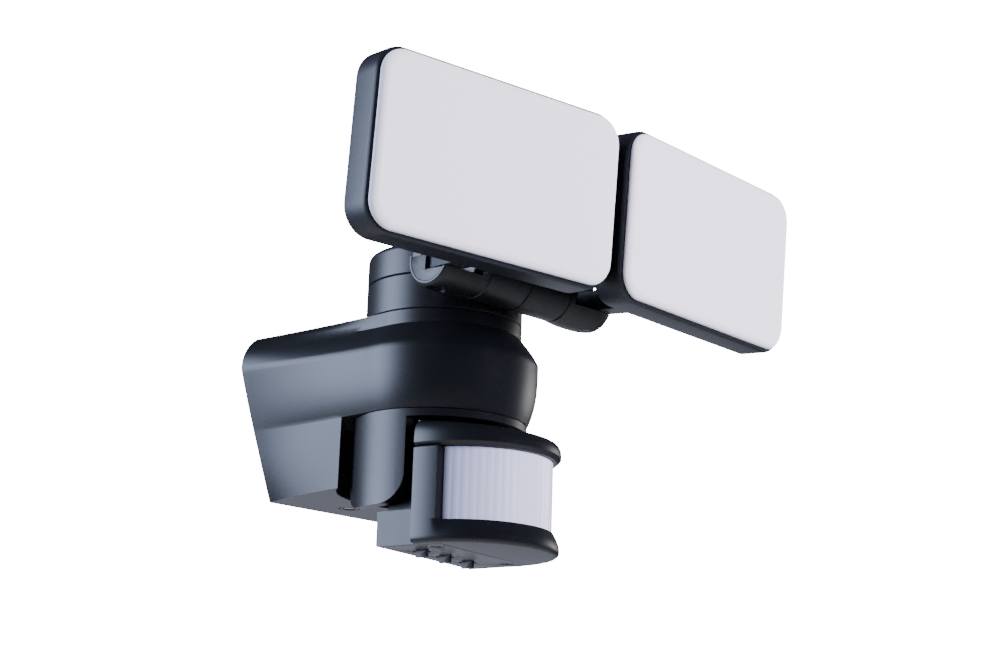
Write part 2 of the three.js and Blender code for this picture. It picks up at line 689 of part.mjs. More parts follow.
// The sensor's plan: a round front, and a tail with flat sides that are set back for the ears.
function sensorForm(profile, segments = 44) {
  const far = 60;
  const [foot, top] = [profile[0][1], profile[profile.length - 1][1]];
  const tail = block(-TAIL_HALF, TAIL_HALF, RECESS_Y, SENSOR_BACK, foot, top);
  const front = turned(profile, 0, SENSOR_Y, segments).subtract(block(-far, far, RECESS_Y, far, -140, -40));
  const round = join(front, tail);
  const back = block(-far, far, SENSOR_BACK, far, -140, -40);
  const recess = (side) => block(...spanX(side * RECESS_X, side * far), RECESS_Y, far, RECESS_Z, -40);
  const sides = [-1, 1].map(recess);
  return cut(round, back, ...sides);
}

const CHAMBER_R = LENS_R - 2.4;
const CHAMBER_BACK = 1;

// A tool that clears the front sector between two heights, out from radius inner.
function windowSector(inner, outer, foot, top, degrees = WINDOW_ANGLE) {
  const points = [];
  const steps = 20;
  const at = (radius, i) => {
    const angle = radians(-90 - degrees + (2 * degrees * i) / steps);
    return [radius * Math.cos(angle), SENSOR_Y + radius * Math.sin(angle)];
  };
  for (let i = 0; i <= steps; i++) points.push(at(outer, i));
  for (let i = steps; i >= 0; i--) points.push(at(inner, i));
  return slabXY(points, foot, top);
}

function sensorBody() {
  const foot = SENSOR_FOOT;
  const form = sensorForm([
    [0, foot], [43.2, foot], [SENSOR_R, foot + 1.2], [SENSOR_R, foot + 3.5],
    [43.6, foot + 7], [42, WINDOW_FOOT],
    [SENSOR_R, WINDOW_FOOT + 0.4], [SENSOR_R, CAP_SEAM - 0.2], [0, CAP_SEAM - 0.2],
  ]);
  const hub = barX(8.5, -RECESS_X, RECESS_X, TILT_Y, TILT_Z, 20);
    const chamber = join(
    post(CHAMBER_R, WINDOW_FOOT + 2, -60, 0, SENSOR_Y, 32).subtract(
      block(-60, 60, RECESS_Y - 2.6, 60, -130, -50),
    ),
    block(-29, 29, RECESS_Y - 4, CHAMBER_BACK, WINDOW_FOOT + 2, -60),
  );
  return cut(
    join(form, hub),
    chamber,
    windowSector(CHAMBER_R - 1, 60, WINDOW_FOOT, -60),
    plateForm(-GAP, foot - 1, foot + 3.3),
    ...KNOB_X.map((x) => post(2.3, foot, WINDOW_FOOT + 4, x, KNOB_Y, 12)),
    ...SCREW_X.map((x) => post(1.9, foot, foot + 9.6, x, SCREW_Y, 10)),
    barX(2.8, -60, 60, TILT_Y, TILT_Z, 12),
  );
}

const KNOB_X = [-KNOB_PITCH, 0, KNOB_PITCH];
const KNOB_Y = -6;
const SCREW_X = [-30, 31];
const SCREW_Y = -22.5;

// The control plate's outline, made smaller by margin.
function plateForm(margin, z0, z1) {
  return block(-38 + margin, 38 - margin, -29 + margin, SENSOR_BACK - 1.2 - margin, z0, z1);
}

function controlPlate() {
  return cut(
    plateForm(0, SENSOR_FOOT, SENSOR_FOOT + 3),
    ...KNOB_X.map((x) => post(KNOB_R + 0.4, SENSOR_FOOT - 1, SENSOR_FOOT + 4, x, KNOB_Y, 18)),
    ...SCREW_X.map((x) => post(1.9, SENSOR_FOOT - 1, SENSOR_FOOT + 4, x, SCREW_Y, 12)),
    ...SCREW_X.map((x) => post(3.3, SENSOR_FOOT - 1, SENSOR_FOOT + 1.8, x, SCREW_Y, 12)),
  );
}

function sensorCap() {
  const form = sensorForm([
    [0, CAP_SEAM], [43.6, CAP_SEAM], [SENSOR_R, CAP_SEAM + 1],
    [SENSOR_R, CAP_SEAM + 5], [43.8, SENSOR_TOP - 3],
    [42.6, SENSOR_TOP - 0.8], [41.4, SENSOR_TOP], [0, SENSOR_TOP],
  ]);
  const hollow = join(
    post(CHAMBER_R, CAP_SEAM - 1, SENSOR_TOP - SENSOR_SLOPE - 2.4, 0, SENSOR_Y, 32).subtract(
      block(-60, 60, RECESS_Y - 2.6, 60, -130, -50),
    ),
    block(-29, 29, RECESS_Y - 4, CHAMBER_BACK, CAP_SEAM - 1, SENSOR_TOP - SENSOR_SLOPE - 2.4),
  );
  const front = SENSOR_Y - SENSOR_R - 1;
  const above = [[RECESS_Y, SENSOR_TOP], [front, SENSOR_TOP - SENSOR_SLOPE], [front, -50], [RECESS_Y, -50]];
  const slope = slabYZ(above, -60, 60);
  return cut(form, hollow, slope, barX(8.5 + GAP, -RECESS_X - 1, RECESS_X + 1, TILT_Y, TILT_Z, 20));
}

function sensorLens() {
  return windowSector(LENS_R - 2, LENS_R, WINDOW_FOOT + 0.2, CAP_SEAM - 0.2, WINDOW_ANGLE - 0.6);
}

function sensorBoard() {
  const board = block(-24, 24, -13, -11.4, -102, -76);
  return join(board, block(-20, -10, -11.6, -6, -100, -90), block(8, 16, -11.6, -8, -98, -86));
}

function pirElement() {
  return join(rodY(4.6, -18.4, -13.9, 0, -89, 14), rodY(5.2, -14.2, -13.3, 0, -89, 14));
}

function knob(x) {
  const disc = post(KNOB_R, SENSOR_FOOT + 0.3, SENSOR_FOOT + 2.8, x, KNOB_Y, 18);
  const stem = post(2, SENSOR_FOOT + 2.5, WINDOW_FOOT + 1.4, x, KNOB_Y, 10);
  const blade = block(x - 0.8, x + 0.8, KNOB_Y - 3.6, KNOB_Y + 3.2, SENSOR_FOOT - 3, SENSOR_FOOT + 0.5);
  return join(disc, stem, blade);
}

addPart(pan, 'pan_rotor', panRotor(), blackPlastic);
addPart(pan, 'pan_retainer', panRetainer(), whiteNylon);
addPart(pan, 'left_sensor_pin', tiltPin(-1), steel);
addPart(pan, 'right_sensor_pin', tiltPin(1), steel);
addPart(pan, 'sensor_body', sensorBody(), blackPlastic);
addPart(pan, 'sensor_cap', sensorCap(), blackPlastic);
addPart(pan, 'sensor_lens', sensorLens(), milkyLens);
addPart(pan, 'sensor_board', sensorBoard(), boardGreen);
addPart(pan, 'pir_element', pirElement(), brass);
addPart(pan, 'control_plate', controlPlate(), blackPlastic);
['time', 'light', 'range'].forEach((name, i) => addPart(pan, `${name}_knob`, knob(KNOB_X[i]), blackPlastic));
['left', 'right'].forEach((name, i) => {
  const screw = screwUp(3, 1.6, SENSOR_FOOT + 0.2, 1.5, SENSOR_FOOT + 9.4, SCREW_X[i], SCREW_Y);
  addPart(pan, `${name}_plate_screw`, screw, blackSteel);
});

export default floodlight;
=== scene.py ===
"""A twin-head LED wall floodlight with a motion sensor, laid out as an add-on and run as a script."""

import json
import math

import bpy
from mathutils import Matrix, Vector


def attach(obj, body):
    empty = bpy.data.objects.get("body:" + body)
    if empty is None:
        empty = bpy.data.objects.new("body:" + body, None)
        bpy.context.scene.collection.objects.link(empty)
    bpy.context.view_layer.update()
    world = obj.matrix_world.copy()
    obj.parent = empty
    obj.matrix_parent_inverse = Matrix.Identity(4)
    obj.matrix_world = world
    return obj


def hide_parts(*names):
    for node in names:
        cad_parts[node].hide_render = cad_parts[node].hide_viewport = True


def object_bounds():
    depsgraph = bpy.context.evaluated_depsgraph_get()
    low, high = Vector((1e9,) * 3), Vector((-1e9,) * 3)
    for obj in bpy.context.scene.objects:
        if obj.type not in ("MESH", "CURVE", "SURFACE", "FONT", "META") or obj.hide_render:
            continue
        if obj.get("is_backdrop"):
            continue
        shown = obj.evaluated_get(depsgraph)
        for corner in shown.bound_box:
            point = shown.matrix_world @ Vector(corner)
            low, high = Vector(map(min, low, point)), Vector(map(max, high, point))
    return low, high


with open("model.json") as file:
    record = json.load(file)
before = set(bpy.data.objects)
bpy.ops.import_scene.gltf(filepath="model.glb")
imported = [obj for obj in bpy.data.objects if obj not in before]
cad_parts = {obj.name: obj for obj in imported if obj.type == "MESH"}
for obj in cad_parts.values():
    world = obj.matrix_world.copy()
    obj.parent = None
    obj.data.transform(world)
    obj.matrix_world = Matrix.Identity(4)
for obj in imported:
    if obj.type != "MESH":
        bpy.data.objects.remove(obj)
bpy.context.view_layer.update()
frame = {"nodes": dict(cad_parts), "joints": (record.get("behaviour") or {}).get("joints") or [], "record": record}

bl_info = {
    "name": "Wall floodlight with motion sensor",
    "version": (1, 0, 0),
    "blender": (4, 5, 0),
    "location": "3D View > Sidebar > Floodlight",
    "description": "Builds the fine pieces, the finishes and the stage of a jointed wall floodlight",
    "category": "Object",
}

MM = 0.001
SIDES = (("left", -1), ("right", 1))

# ---------------------------------------------------------------- places

REST_TILT = math.radians(4)
REST_YAW = math.radians(5.8)
REST_PAN = math.radians(12)

joints = {joint["name"]: joint for joint in frame["joints"]}


def pivot(name):
    """A joint's place, in millimetres."""
    return Vector(joints[name]["pos_m"]) / MM


CORE = Matrix.Translation(pivot("turret_swivel"))
PAN = CORE @ Matrix.Rotation(REST_PAN, 4, "Z")
TILTED = Matrix.Translation(pivot("left_lamp_tilt")) @ Matrix.Rotation(REST_TILT, 4, "X")
BAR = pivot("left_lamp_tilt") - pivot("turret_swivel")

# ---------------------------------------------------------------- sizes, in millimetres

GAP = 0.3
WALL = 2.6
REACH = 88.0
STEM_R = 22.0
HOUSING_SCREW_Y = 68.0
COLLAR_R = 40.0
COLLAR_DROP = 7.0
DRUM_R = 49.0
DRUM_FOOT_R = 44.0
CREASE_DROP = 19.6
DRUM_DROP = 51.2
ARM_DROP = 87.0
WALL_TOP_HALF = 44.0
WALL_CREASE_HALF = 61.2
WALL_FOOT_HALF = 37.3
NOTCH_R = 51.0

TURRET_R = 40.0
TURRET_SPLIT = 18.6
TURRET_TOP = 35.0
BAR_R = 14.2
BAR_HALF = 28.0
NOTCH_TURN = 40.0
CUP_R = 15.4
CUP_END = 58.2
CUP_WALL = 56.5
CUP_CAP_R = 12.2
CUP_REAR = 8.5
REAR_TOP = 6.0
LAP_Z = -6.0
NECK_X = 51.5
NECK_HALF = 4.7
NECK_HEIGHT = 11.0

HEAD_W = 142.4
HEAD_H = 85.4
HEAD_CORNER = 14.4
HEAD_OUT = 16.6
HEAD_FRONT = -66.8
HEAD_BACK = -46.6
HEAD_RIM = -63.6
LAMP_WALL = 2.4
LAMP_SCREW_INSET = 13.0
DIFFUSER_INSET = 1.7
DIFFUSER_WALL = 2.7
HEAD_RISE = 28.8

ROTOR_R = 43.8
ROTOR_TOP = -51.6
ROTOR_PLATE = 3.8
ROTOR_STEM_R = 11.0
EAR_FOOT = -98.0
EAR_FRONT = -9.6
EAR_BACK = 35.0
EAR_CORNER = 15.0
EAR_THICK = 6.0
SENSOR_R = 44.4
SENSOR_Y = -20.5
SENSOR_BACK = 6.5
CHAMBER_BACK = 1.0
TAIL_HALF = 41.0
PIN_END = 40.6
SENSOR_TOP = -58.0
SENSOR_SLOPE = 4.5
SENSOR_FOOT = -118.5
CAP_SEAM = -71.6
WINDOW_FOOT = -107.3
LENS_R = 40.4
WINDOW_ANGLE = math.radians(76)
JAMB_ANGLE = math.radians(78.5)
TILT_Y = 7.0
TILT_Z = -77.0
PIVOT_R = 8.5
PIN_HOLE_R = 2.8
RECESS_X = 32.5
RECESS_Y = -16.0
RECESS_Z = -101.5
KNOB_X = (-20.0, 0.0, 20.0)
KNOB_Y = -6.0
KNOB_R = 4.2
SCREW_X = (-30.0, 31.0)
SCREW_Y = -22.5

# Where the sensor's cutting blocks end, clear of the sensor
SENSOR_CLEAR = 60.0
SENSOR_UNDER = -140.0
SENSOR_OVER = -40.0

# ---------------------------------------------------------------- modelling, as by hand


def object_mode():
    if bpy.context.mode != "OBJECT":
        bpy.ops.object.mode_set(mode="OBJECT")


def alone(piece):
    """Select one piece and nothing else."""
    object_mode()
    bpy.ops.object.select_all(action="DESELECT")
    piece.select_set(True)
    bpy.context.view_layer.objects.active = piece


def clear_selection():
    object_mode()
    bpy.ops.object.select_all(action="DESELECT")


def named(name):
    """The piece just added, with its name."""
    piece = bpy.context.active_object
    piece.name = name
    piece.data.name = name
    return piece


def edit_all(piece):
    alone(piece)
    bpy.ops.object.mode_set(mode="EDIT")
    bpy.ops.mesh.select_all(action="SELECT")


def modify(piece, kind, **settings):
    """Add a modifier and apply it."""
    alone(piece)
    bpy.ops.object.modifier_add(type=kind)
    modifier = piece.modifiers[-1]
    for key, value in settings.items():
        setattr(modifier, key, value)
    bpy.ops.object.modifier_apply(modifier=modifier.name)


def move_mesh(piece, matrix):
    """Move a piece by a matrix that is written into its mesh."""
    piece.matrix_world = matrix
    alone(piece)
    bpy.ops.object.transform_apply(location=True, rotation=True, scale=True)


def grow(steps, start):
    """Extrude the selected ring through (z, width, height) steps. A width of 0 closes it to a point."""
    z0, w0, h0 = start
    for z, w, h in steps:
        bpy.ops.mesh.extrude_region_move(TRANSFORM_OT_translate={"value": (0, 0, z - z0)})
        if w == 0:
            bpy.ops.mesh.merge(type="CENTER")
            return
        if w != w0 or h != h0:
            centre = (0, 0, z)
            bpy.ops.transform.resize(value=(w / w0, h / h0, 1), center_override=centre)
        z0, w0, h0 = z, w, h


def tidy_mesh(piece):
    """Join points that meet and turn every face outwards."""
    edit_all(piece)
    bpy.ops.mesh.remove_doubles(threshold=1e-4)
    bpy.ops.mesh.normals_make_consistent(inside=False)
    object_mode()


def cap_holes(piece):
    """Close the open ends of a grown ring."""
    edit_all(piece)
    bpy.ops.mesh.fill_holes(sides=0)
    object_mode()


def turned(name, profile, segments=96):
    """A turned form about Z from (radius, z) points. A closed profile ends where it starts."""
    clear_selection()
    r0, z0 = profile[0]
    bpy.ops.mesh.primitive_circle_add(vertices=segments, radius=r0, location=(0, 0, z0))
    piece = named(name)
    bpy.ops.object.transform_apply(location=True)
    edit_all(piece)
    grow([(z, r, r) for r, z in profile[1:]], (z0, r0, r0))
    object_mode()
    if profile[0] != profile[-1]:
        cap_holes(piece)
    tidy_mesh(piece)
    return piece


def slab(name, width, height, corner, steps, segments=12):
    """A rounded plate that lies flat and grows along Z through (z, inset) steps."""
    clear_selection()
    z0 = steps[0][0]
    bpy.ops.mesh.primitive_plane_add(size=1, location=(0, 0, z0))
    piece = named(name)
    piece.scale = (width, height, 1)
    bpy.ops.object.transform_apply(location=True, scale=True)
    edit_all(piece)
    bpy.ops.mesh.bevel(offset=corner, segments=segments, affect="VERTICES", offset_type="OFFSET")
    bpy.ops.mesh.select_all(action="SELECT")
    bpy.ops.mesh.delete(type="ONLY_FACE")
    bpy.ops.mesh.select_all(action="SELECT")
    span = [(z, width - 2 * inset, height - 2 * inset) for z, inset in steps]
    factor = (span[0][1] / width, span[0][2] / height, 1)
    bpy.ops.transform.resize(value=factor, center_override=(0, 0, z0))
    grow(span[1:], span[0])
    object_mode()
    cap_holes(piece)
    tidy_mesh(piece)
    return piece


def rounding(radius, steps=5):
    """The (inset, rise) points of a quarter round, from the side to the flat."""
    points = []
    for i in range(steps + 1):
        angle = (i / steps) * math.pi / 2
        points.append((radius * (1 - math.cos(angle)), radius * math.sin(angle)))
    return points


def cylinder(radius, low, high, x=0.0, y=0.0, axis="Z", segments=64):
    """A round tool. Its two other coordinates are (y, z) along X and (x, z) along Y."""
    clear_selection()
    middle = (low + high) / 2
    places = {"Z": (x, y, middle), "X": (middle, x, y), "Y": (x, middle, y)}
    turns = {"Z": (0, 0, 0), "X": (0, math.pi / 2, 0), "Y": (math.pi / 2, 0, 0)}
    bpy.ops.mesh.primitive_cylinder_add(
        vertices=segments, radius=radius, depth=high - low, location=places[axis], rotation=turns[axis]
    )
    tool = named("tool")
    bpy.ops.object.transform_apply(location=True, rotation=True)
    return tool


def brick(x0, x1, y0, y1, z0, z1):
    """A block tool between two planes along each axis."""
    clear_selection()
    middle = ((x0 + x1) / 2, (y0 + y1) / 2, (z0 + z1) / 2)
    bpy.ops.mesh.primitive_cube_add(size=1, location=middle)
    tool = named("tool")
    tool.scale = (abs(x1 - x0), abs(y1 - y0), abs(z1 - z0))
    bpy.ops.object.transform_apply(location=True, scale=True)
    return tool


def combine(piece, operation, *tools):
    """Use each tool on a piece with a boolean and throw the tool away."""
    for tool in tools:
        modify(piece, "BOOLEAN", operation=operation, object=tool, solver="EXACT")
        bpy.data.objects.remove(tool, do_unlink=True)
    return piece


def carve(piece, *tools):
    return combine(piece, "DIFFERENCE", *tools)


def weld(piece, *tools):
    return combine(piece, "UNION", *tools)


def outline_block(name, points, low, high, axis="Z"):
    """An outline drawn point by point and extruded from low to high along an axis."""
    clear_selection()
    bpy.ops.mesh.primitive_circle_add(vertices=len(points), radius=1, fill_type="NGON")
    piece = named(name)
    for vertex, (u, v) in zip(piece.data.vertices, points):
        vertex.co = (u, v, low) if axis == "Z" else (low, u, v)
    edit_all(piece)
    move = (0, 0, high - low) if axis == "Z" else (high - low, 0, 0)
    bpy.ops.mesh.extrude_region_move(TRANSFORM_OT_translate={"value": move})
    object_mode()
    tidy_mesh(piece)
    return piece


def soften(piece, width, segments=3, degrees=38):
    """Round the sharp edges that a mould leaves."""
    modify(
        piece,
        "BEVEL",
        width=width,
        segments=segments,
        limit_method="ANGLE",
        angle_limit=math.radians(degrees),
        use_clamp_overlap=True,
        miter_outer="MITER_ARC",
    )
    tidy_mesh(piece)


def shade(piece, degrees=32):
    alone(piece)
    bpy.ops.object.shade_smooth_by_angle(angle=math.radians(degrees))


def finish_piece(piece, matrix, slot_name, body, *nodes):
    """Put a piece modelled in millimetres in its place, with its finish, its body and its nodes."""
    move_mesh(piece, Matrix.Scale(MM, 4) @ matrix)
    shade(piece)
    piece.data.materials.clear()
    piece.data.materials.append(finish_for(slot_name))
    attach(piece, body)
    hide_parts(*nodes)


def copied(piece, name):
    """A copy with its own mesh."""
    twin = piece.copy()
    twin.data = piece.data.copy()
    twin.name = name
    twin.data.name = name
    bpy.context.scene.collection.objects.link(twin)
    return twin


def mirrored(piece, name):
    """A copy reflected in X, with its faces pointing out again."""
    twin = copied(piece, name)
    alone(twin)
    twin.scale = (-1, 1, 1)
    bpy.ops.object.transform_apply(scale=True)
    tidy_mesh(twin)
    return twin


# ---------------------------------------------------------------- shader sockets


class Value:
    """A shader socket with arithmetic, which adds Math nodes to its tree."""

    def __init__(self, tree, socket):
        self.tree = tree
        self.socket = socket

    def maths(self, operation, other):
        return self.tree.node("ShaderNodeMath", {"operation": operation}, [self, other])

    def __add__(self, other):
        return self.maths("ADD", other)

    __radd__ = __add__

    def __mul__(self, other):
        return self.maths("MULTIPLY", other)

    def __sub__(self, other):
        return self.maths("SUBTRACT", other)


class Tree:
    """A material's node tree with one Principled shader."""

    def __init__(self, name, **settings):
        self.material = bpy.data.materials.new(name)
        self.material.use_nodes = True
        self.nodes = self.material.node_tree.nodes
        self.links = self.material.node_tree.links
        self.shader = self.nodes["Principled BSDF"]
        for key, value in settings.items():
            self.shader.inputs[key.replace("_", " ")].default_value = value
        self.place = self.node("ShaderNodeTexCoord", {}, [], "Object")

    def node(self, kind, settings, sockets, output=0):
        """Add a node with its settings, and set or link its sockets by place or by name."""
        made = self.nodes.new(kind)
        for key, value in settings.items():
            setattr(made, key, value)
        pairs = sockets.items() if isinstance(sockets, dict) else enumerate(sockets)
        for key, value in pairs:
            if isinstance(value, Value):
                self.links.new(value.socket, made.inputs[key])
            else:
                made.inputs[key].default_value = value
        return Value(self, made.outputs[output])

    def noise(self, scale, detail, roughness, where=None):
        """Noise over the piece's own coordinates, or over a mapped copy of them."""
        sockets = {
            "Vector": where or self.place,
            "Scale": scale,
            "Detail": detail,
            "Roughness": roughness,
        }
        return self.node("ShaderNodeTexNoise", {}, sockets, "Fac")

    def mixed(self, factor, first, second):
        """Mix two colours. The node's colours are its sockets 6 and 7, and its colour output is 2."""
        return self.node("ShaderNodeMix", {"data_type": "RGBA"}, {0: factor, 6: first, 7: second}, 2)

    def bump(self, height, strength, distance):
        """A bumped normal, with its distance in metres."""
        sockets = {"Strength": strength, "Distance": distance, "Height": height}
        return self.node("ShaderNodeBump", {}, sockets, "Normal")

    def feed(self, **values):
        """Link values to the shader's inputs, with _ in a name for a space, and give the material."""
        for key, value in values.items():
            self.links.new(value.socket, self.shader.inputs[key.replace("_", " ")])
        return self.material


def tint(colour, factor):
    """A lighter or darker shade of a colour, with full alpha."""
    return tuple(channel * factor for channel in colour[:3]) + (1.0,)


def moulded_plastic(name, colour, roughness, grain=0.35):
    """Spark-eroded moulded plastic: a fine grain, faint flow marks and an uneven sheen."""
    tree = Tree(name, Specular_IOR_Level=0.4, IOR=1.5)
    fine = tree.noise(2600.0, 3.0, 0.6)
    flow = tree.noise(28.0, 3.0, 0.55)
    patches = tree.noise(9.0, 2.0, 0.5)
    colour_mix = tree.mixed(flow * 0.7 + fine * 0.3, tint(colour, 0.84), tint(colour, 1.16))
    sheen = roughness + (fine - 0.5) * 0.10 + (patches - 0.5) * 0.12
    return tree.feed(
        Base_Color=colour_mix,
        Roughness=sheen,
        Normal=tree.bump(fine, grain, 0.00006),
    )


def opal_plastic(name, colour):
    """Frosted white diffuser: even colour, a very fine frosting and a soft sheen."""
    tree = Tree(name, IOR=1.49, Coat_Weight=0.12, Coat_Roughness=0.22)
    frost = tree.noise(3200.0, 2.0, 0.5)
    haze = tree.noise(11.0, 2.0, 0.5)
    return tree.feed(
        Base_Color=tree.mixed(haze, tint(colour, 0.975), tint(colour, 1.02)),
        Roughness=0.42 + (frost - 0.5) * 0.12,
        Normal=tree.bump(frost, 0.12, 0.00003),
    )


def lens_plastic(name, colour):
    """Milky polyethylene lens, with the faint colour change of its segments."""
    tree = Tree(name, IOR=1.5, Coat_Weight=0.25, Coat_Roughness=0.12)
    haze = tree.noise(40.0, 2.0, 0.5)
    fine = tree.noise(1800.0, 2.0, 0.5)
    return tree.feed(
        Base_Color=tree.mixed(haze, tint(colour, 0.95), tint(colour, 1.04)),
        Roughness=0.34 + (fine - 0.5) * 0.10,
        Normal=tree.bump(fine, 0.08, 0.00003),
    )


def plated_metal(name, colour, roughness):
    """Plated or stamped metal with fine lines, cloudy patches and dulled spots."""
    tree = Tree(name, Metallic=1.0)
    stretch = {"Vector": tree.place, "Scale": (1.0, 1.0, 14.0)}
    stretched = tree.node("ShaderNodeMapping", {}, stretch, "Vector")
    lines = tree.noise(900.0, 3.0, 0.6, stretched)
    cloud = tree.noise(60.0, 3.0, 0.6)
    return tree.feed(
        Base_Color=tree.mixed(cloud, tint(colour, 0.82), tint(colour, 1.1)),
        Roughness=roughness + (lines - 0.5) * 0.16 + (cloud - 0.5) * 0.14,
        Normal=tree.bump(lines, 0.12, 0.00004),
    )


def board_finish(name, colour, second, scale):
    """A printed board: solder mask with paler tracks."""
    tree = Tree(name, IOR=1.5)
    cells = tree.node(
        "ShaderNodeTexVoronoi",
        {"distance": "CHEBYCHEV", "feature": "F1"},
        {"Vector": tree.place, "Scale": scale},
        "Distance",
    )
    tracks = cells.maths("GREATER_THAN", 0.42)
    fine = tree.noise(900.0, 2.0, 0.5)
    return tree.feed(
        Base_Color=tree.mixed(tracks * 0.8, tint(colour, 1.0), tint(second, 1.0)),
        Roughness=0.42 + (fine - 0.5) * 0.2,
        Normal=tree.bump(tracks, 0.2, 0.00004),
    )


# ---------------------------------------------------------------- properties


def colour_property(name, description, default):
    return bpy.props.FloatVectorProperty(
        name=name, description=description, default=default, size=3, subtype="COLOR", min=0.0, max=1.0
    )


class FloodlightSizes(bpy.types.PropertyGroup):
    edge_round: bpy.props.FloatProperty(
        name="Edge round",
        description="Radius of the edges that the mould leaves on the black pieces",
        default=0.0006,
        min=0.0001,
        max=0.002,
        unit="LENGTH",
    )
    diffuser_round: bpy.props.FloatProperty(
        name="Diffuser round",
        description="Radius of the diffuser's front edge",
        default=0.003,
        min=0.001,
        max=0.005,
        unit="LENGTH",
    )
    lens_segments: bpy.props.IntProperty(
        name="Lens segments",
        description="Number of upright segments across the sensor lens",
        default=26,
        min=6,
        max=60,
    )
    floor_drop: bpy.props.FloatProperty(
        name="Floor drop",
        description="Distance from the light's lowest point down to the floor",
        default=1.0,
        min=0.0,
        max=3.0,
        unit="LENGTH",
    )


class FloodlightColours(bpy.types.PropertyGroup):
    body: colour_property("Body", "Black plastic of the base, turret and sensor", (0.0028, 0.0032, 0.0050))
    lamp: colour_property("Lamp housing", "Blue-grey plastic of the lamp heads", (0.0050, 0.0062, 0.0110))
    diffuser: colour_property("Diffuser", "Opal plastic of the lamp fronts", (0.63, 0.61, 0.72))
    lens: colour_property("Sensor lens", "Milky plastic of the sensor lens", (0.36, 0.37, 0.55))


def sizes():
    return bpy.context.scene.floodlight_sizes


def colours():
    return bpy.context.scene.floodlight_colours


finishes = {}


def finish_for(name):
    """The finish of a material slot, made once."""
    if name not in finishes:
        makers = {
            "black_plastic": lambda: moulded_plastic("satin_black_plastic", colours().body, 0.40),
            "lamp_plastic": lambda: moulded_plastic("blue_grey_plastic", colours().lamp, 0.44),
            "opal_diffuser": lambda: opal_plastic("opal_diffuser", colours().diffuser),
            "milky_lens": lambda: lens_plastic("milky_lens", colours().lens),
            "rubber": lambda: moulded_plastic("black_rubber", (0.010, 0.010, 0.011), 0.72),
            "steel": lambda: plated_metal("zinc_plated_steel", (0.56, 0.57, 0.58), 0.34),
            "black_steel": lambda: plated_metal("black_zinc_steel", (0.05, 0.052, 0.056), 0.42),
            "aluminium": lambda: plated_metal("stamped_aluminium", (0.60, 0.61, 0.62), 0.38),
            "board_green": lambda: board_finish(
                "circuit_board", (0.015, 0.09, 0.035), (0.05, 0.2, 0.08), 260.0
            ),
            "led_board": lambda: board_finish(
                "led_board", (0.72, 0.72, 0.68), (0.62, 0.62, 0.58), 120.0
            ),
            "brass": lambda: plated_metal("plated_can", (0.60, 0.50, 0.28), 0.28),
            "white_nylon": lambda: moulded_plastic("white_nylon", (0.62, 0.62, 0.58), 0.45),
        }
        finishes[name] = makers[name]()
    return finishes[name]


# ---------------------------------------------------------------- arm housing form


def share(value, start, end):
    """How far a value is from start to end, between 0 and 1."""
    return min(1.0, max(0.0, (value - start) / (end - start)))


def blend(a, b, t):
    """The value a share t of the way from a to b."""
    return a + (b - a) * t


def front_radius(z):
    """The round front's radius at a height below the collar's top."""
    shoulder = share(z, -COLLAR_DROP, -CREASE_DROP)
    tuck = share(z, -CREASE_DROP, -DRUM_DROP)
    rise = 0.7 * shoulder + 0.3 * math.sin(shoulder * math.pi / 2)
    return blend(COLLAR_R, DRUM_R, rise) - (DRUM_R - DRUM_FOOT_R) * tuck**3


def wall_half(z):
    """Half the arm's width at the wall, at a height."""
    if z > -CREASE_DROP:
        up = share(z, -CREASE_DROP, 0)
        return blend(WALL_TOP_HALF, WALL_CREASE_HALF, math.sqrt(1 - up * up))
    return blend(WALL_CREASE_HALF, WALL_FOOT_HALF, share(z, -CREASE_DROP, -ARM_DROP) ** 1.08)


def arm_half(y, z):
    """Half the arm's width at a distance behind the drum's axis, at a height."""
    flare = 1.6 if z > -CREASE_DROP else 1.6 + 1.6 * share(z, -CREASE_DROP, -ARM_DROP)
    return blend(front_radius(z), wall_half(z), share(y, 0, REACH) ** flare)


def arm_form(name, inset, floor, top, back, heights):
    """The arm as a closed loft of level rings: a round front that runs into flat flared sides."""
    side, front, rear = 16, 72, 12
    outline = [(-1.0, back * (1 - i / side)) for i in range(side)]
    for i in range(front + 1):
        angle = math.pi * (1 + i / front)
        outline.append((math.cos(angle), math.sin(angle)))
    outline += [(1.0, back * i / side) for i in range(1, side + 1)]
    outline += [(1 - 2 * i / rear, back) for i in range(1, rear)]
    levels = [floor, *[z for z in heights if floor + 0.4 < z < top - 0.1], top]
    clear_selection()
    bpy.ops.mesh.primitive_grid_add(x_subdivisions=len(outline), y_subdivisions=len(levels) - 1, size=2)
    piece = named(name)
    for vertex in piece.data.vertices:
        column = round((vertex.co.x + 1) / 2 * len(outline)) % len(outline)
        z = levels[round((vertex.co.y + 1) / 2 * (len(levels) - 1))]
        u, v = outline[column]
        if v < 0:
            radius = front_radius(z) - inset
            vertex.co = (u * radius, v * radius, z)
        else:
            vertex.co = (u * (arm_half(v, z) - inset), v, z)
    tidy_mesh(piece)
    cap_holes(piece)
    tidy_mesh(piece)
    return piece


# ---------------------------------------------------------------- operators


class PieceOperator:
    """What every operator here shares: it builds, and raises if it can't."""

    bl_options = {"REGISTER", "UNDO"}

    def execute(self, context):
        self.build()
        return {"FINISHED"}


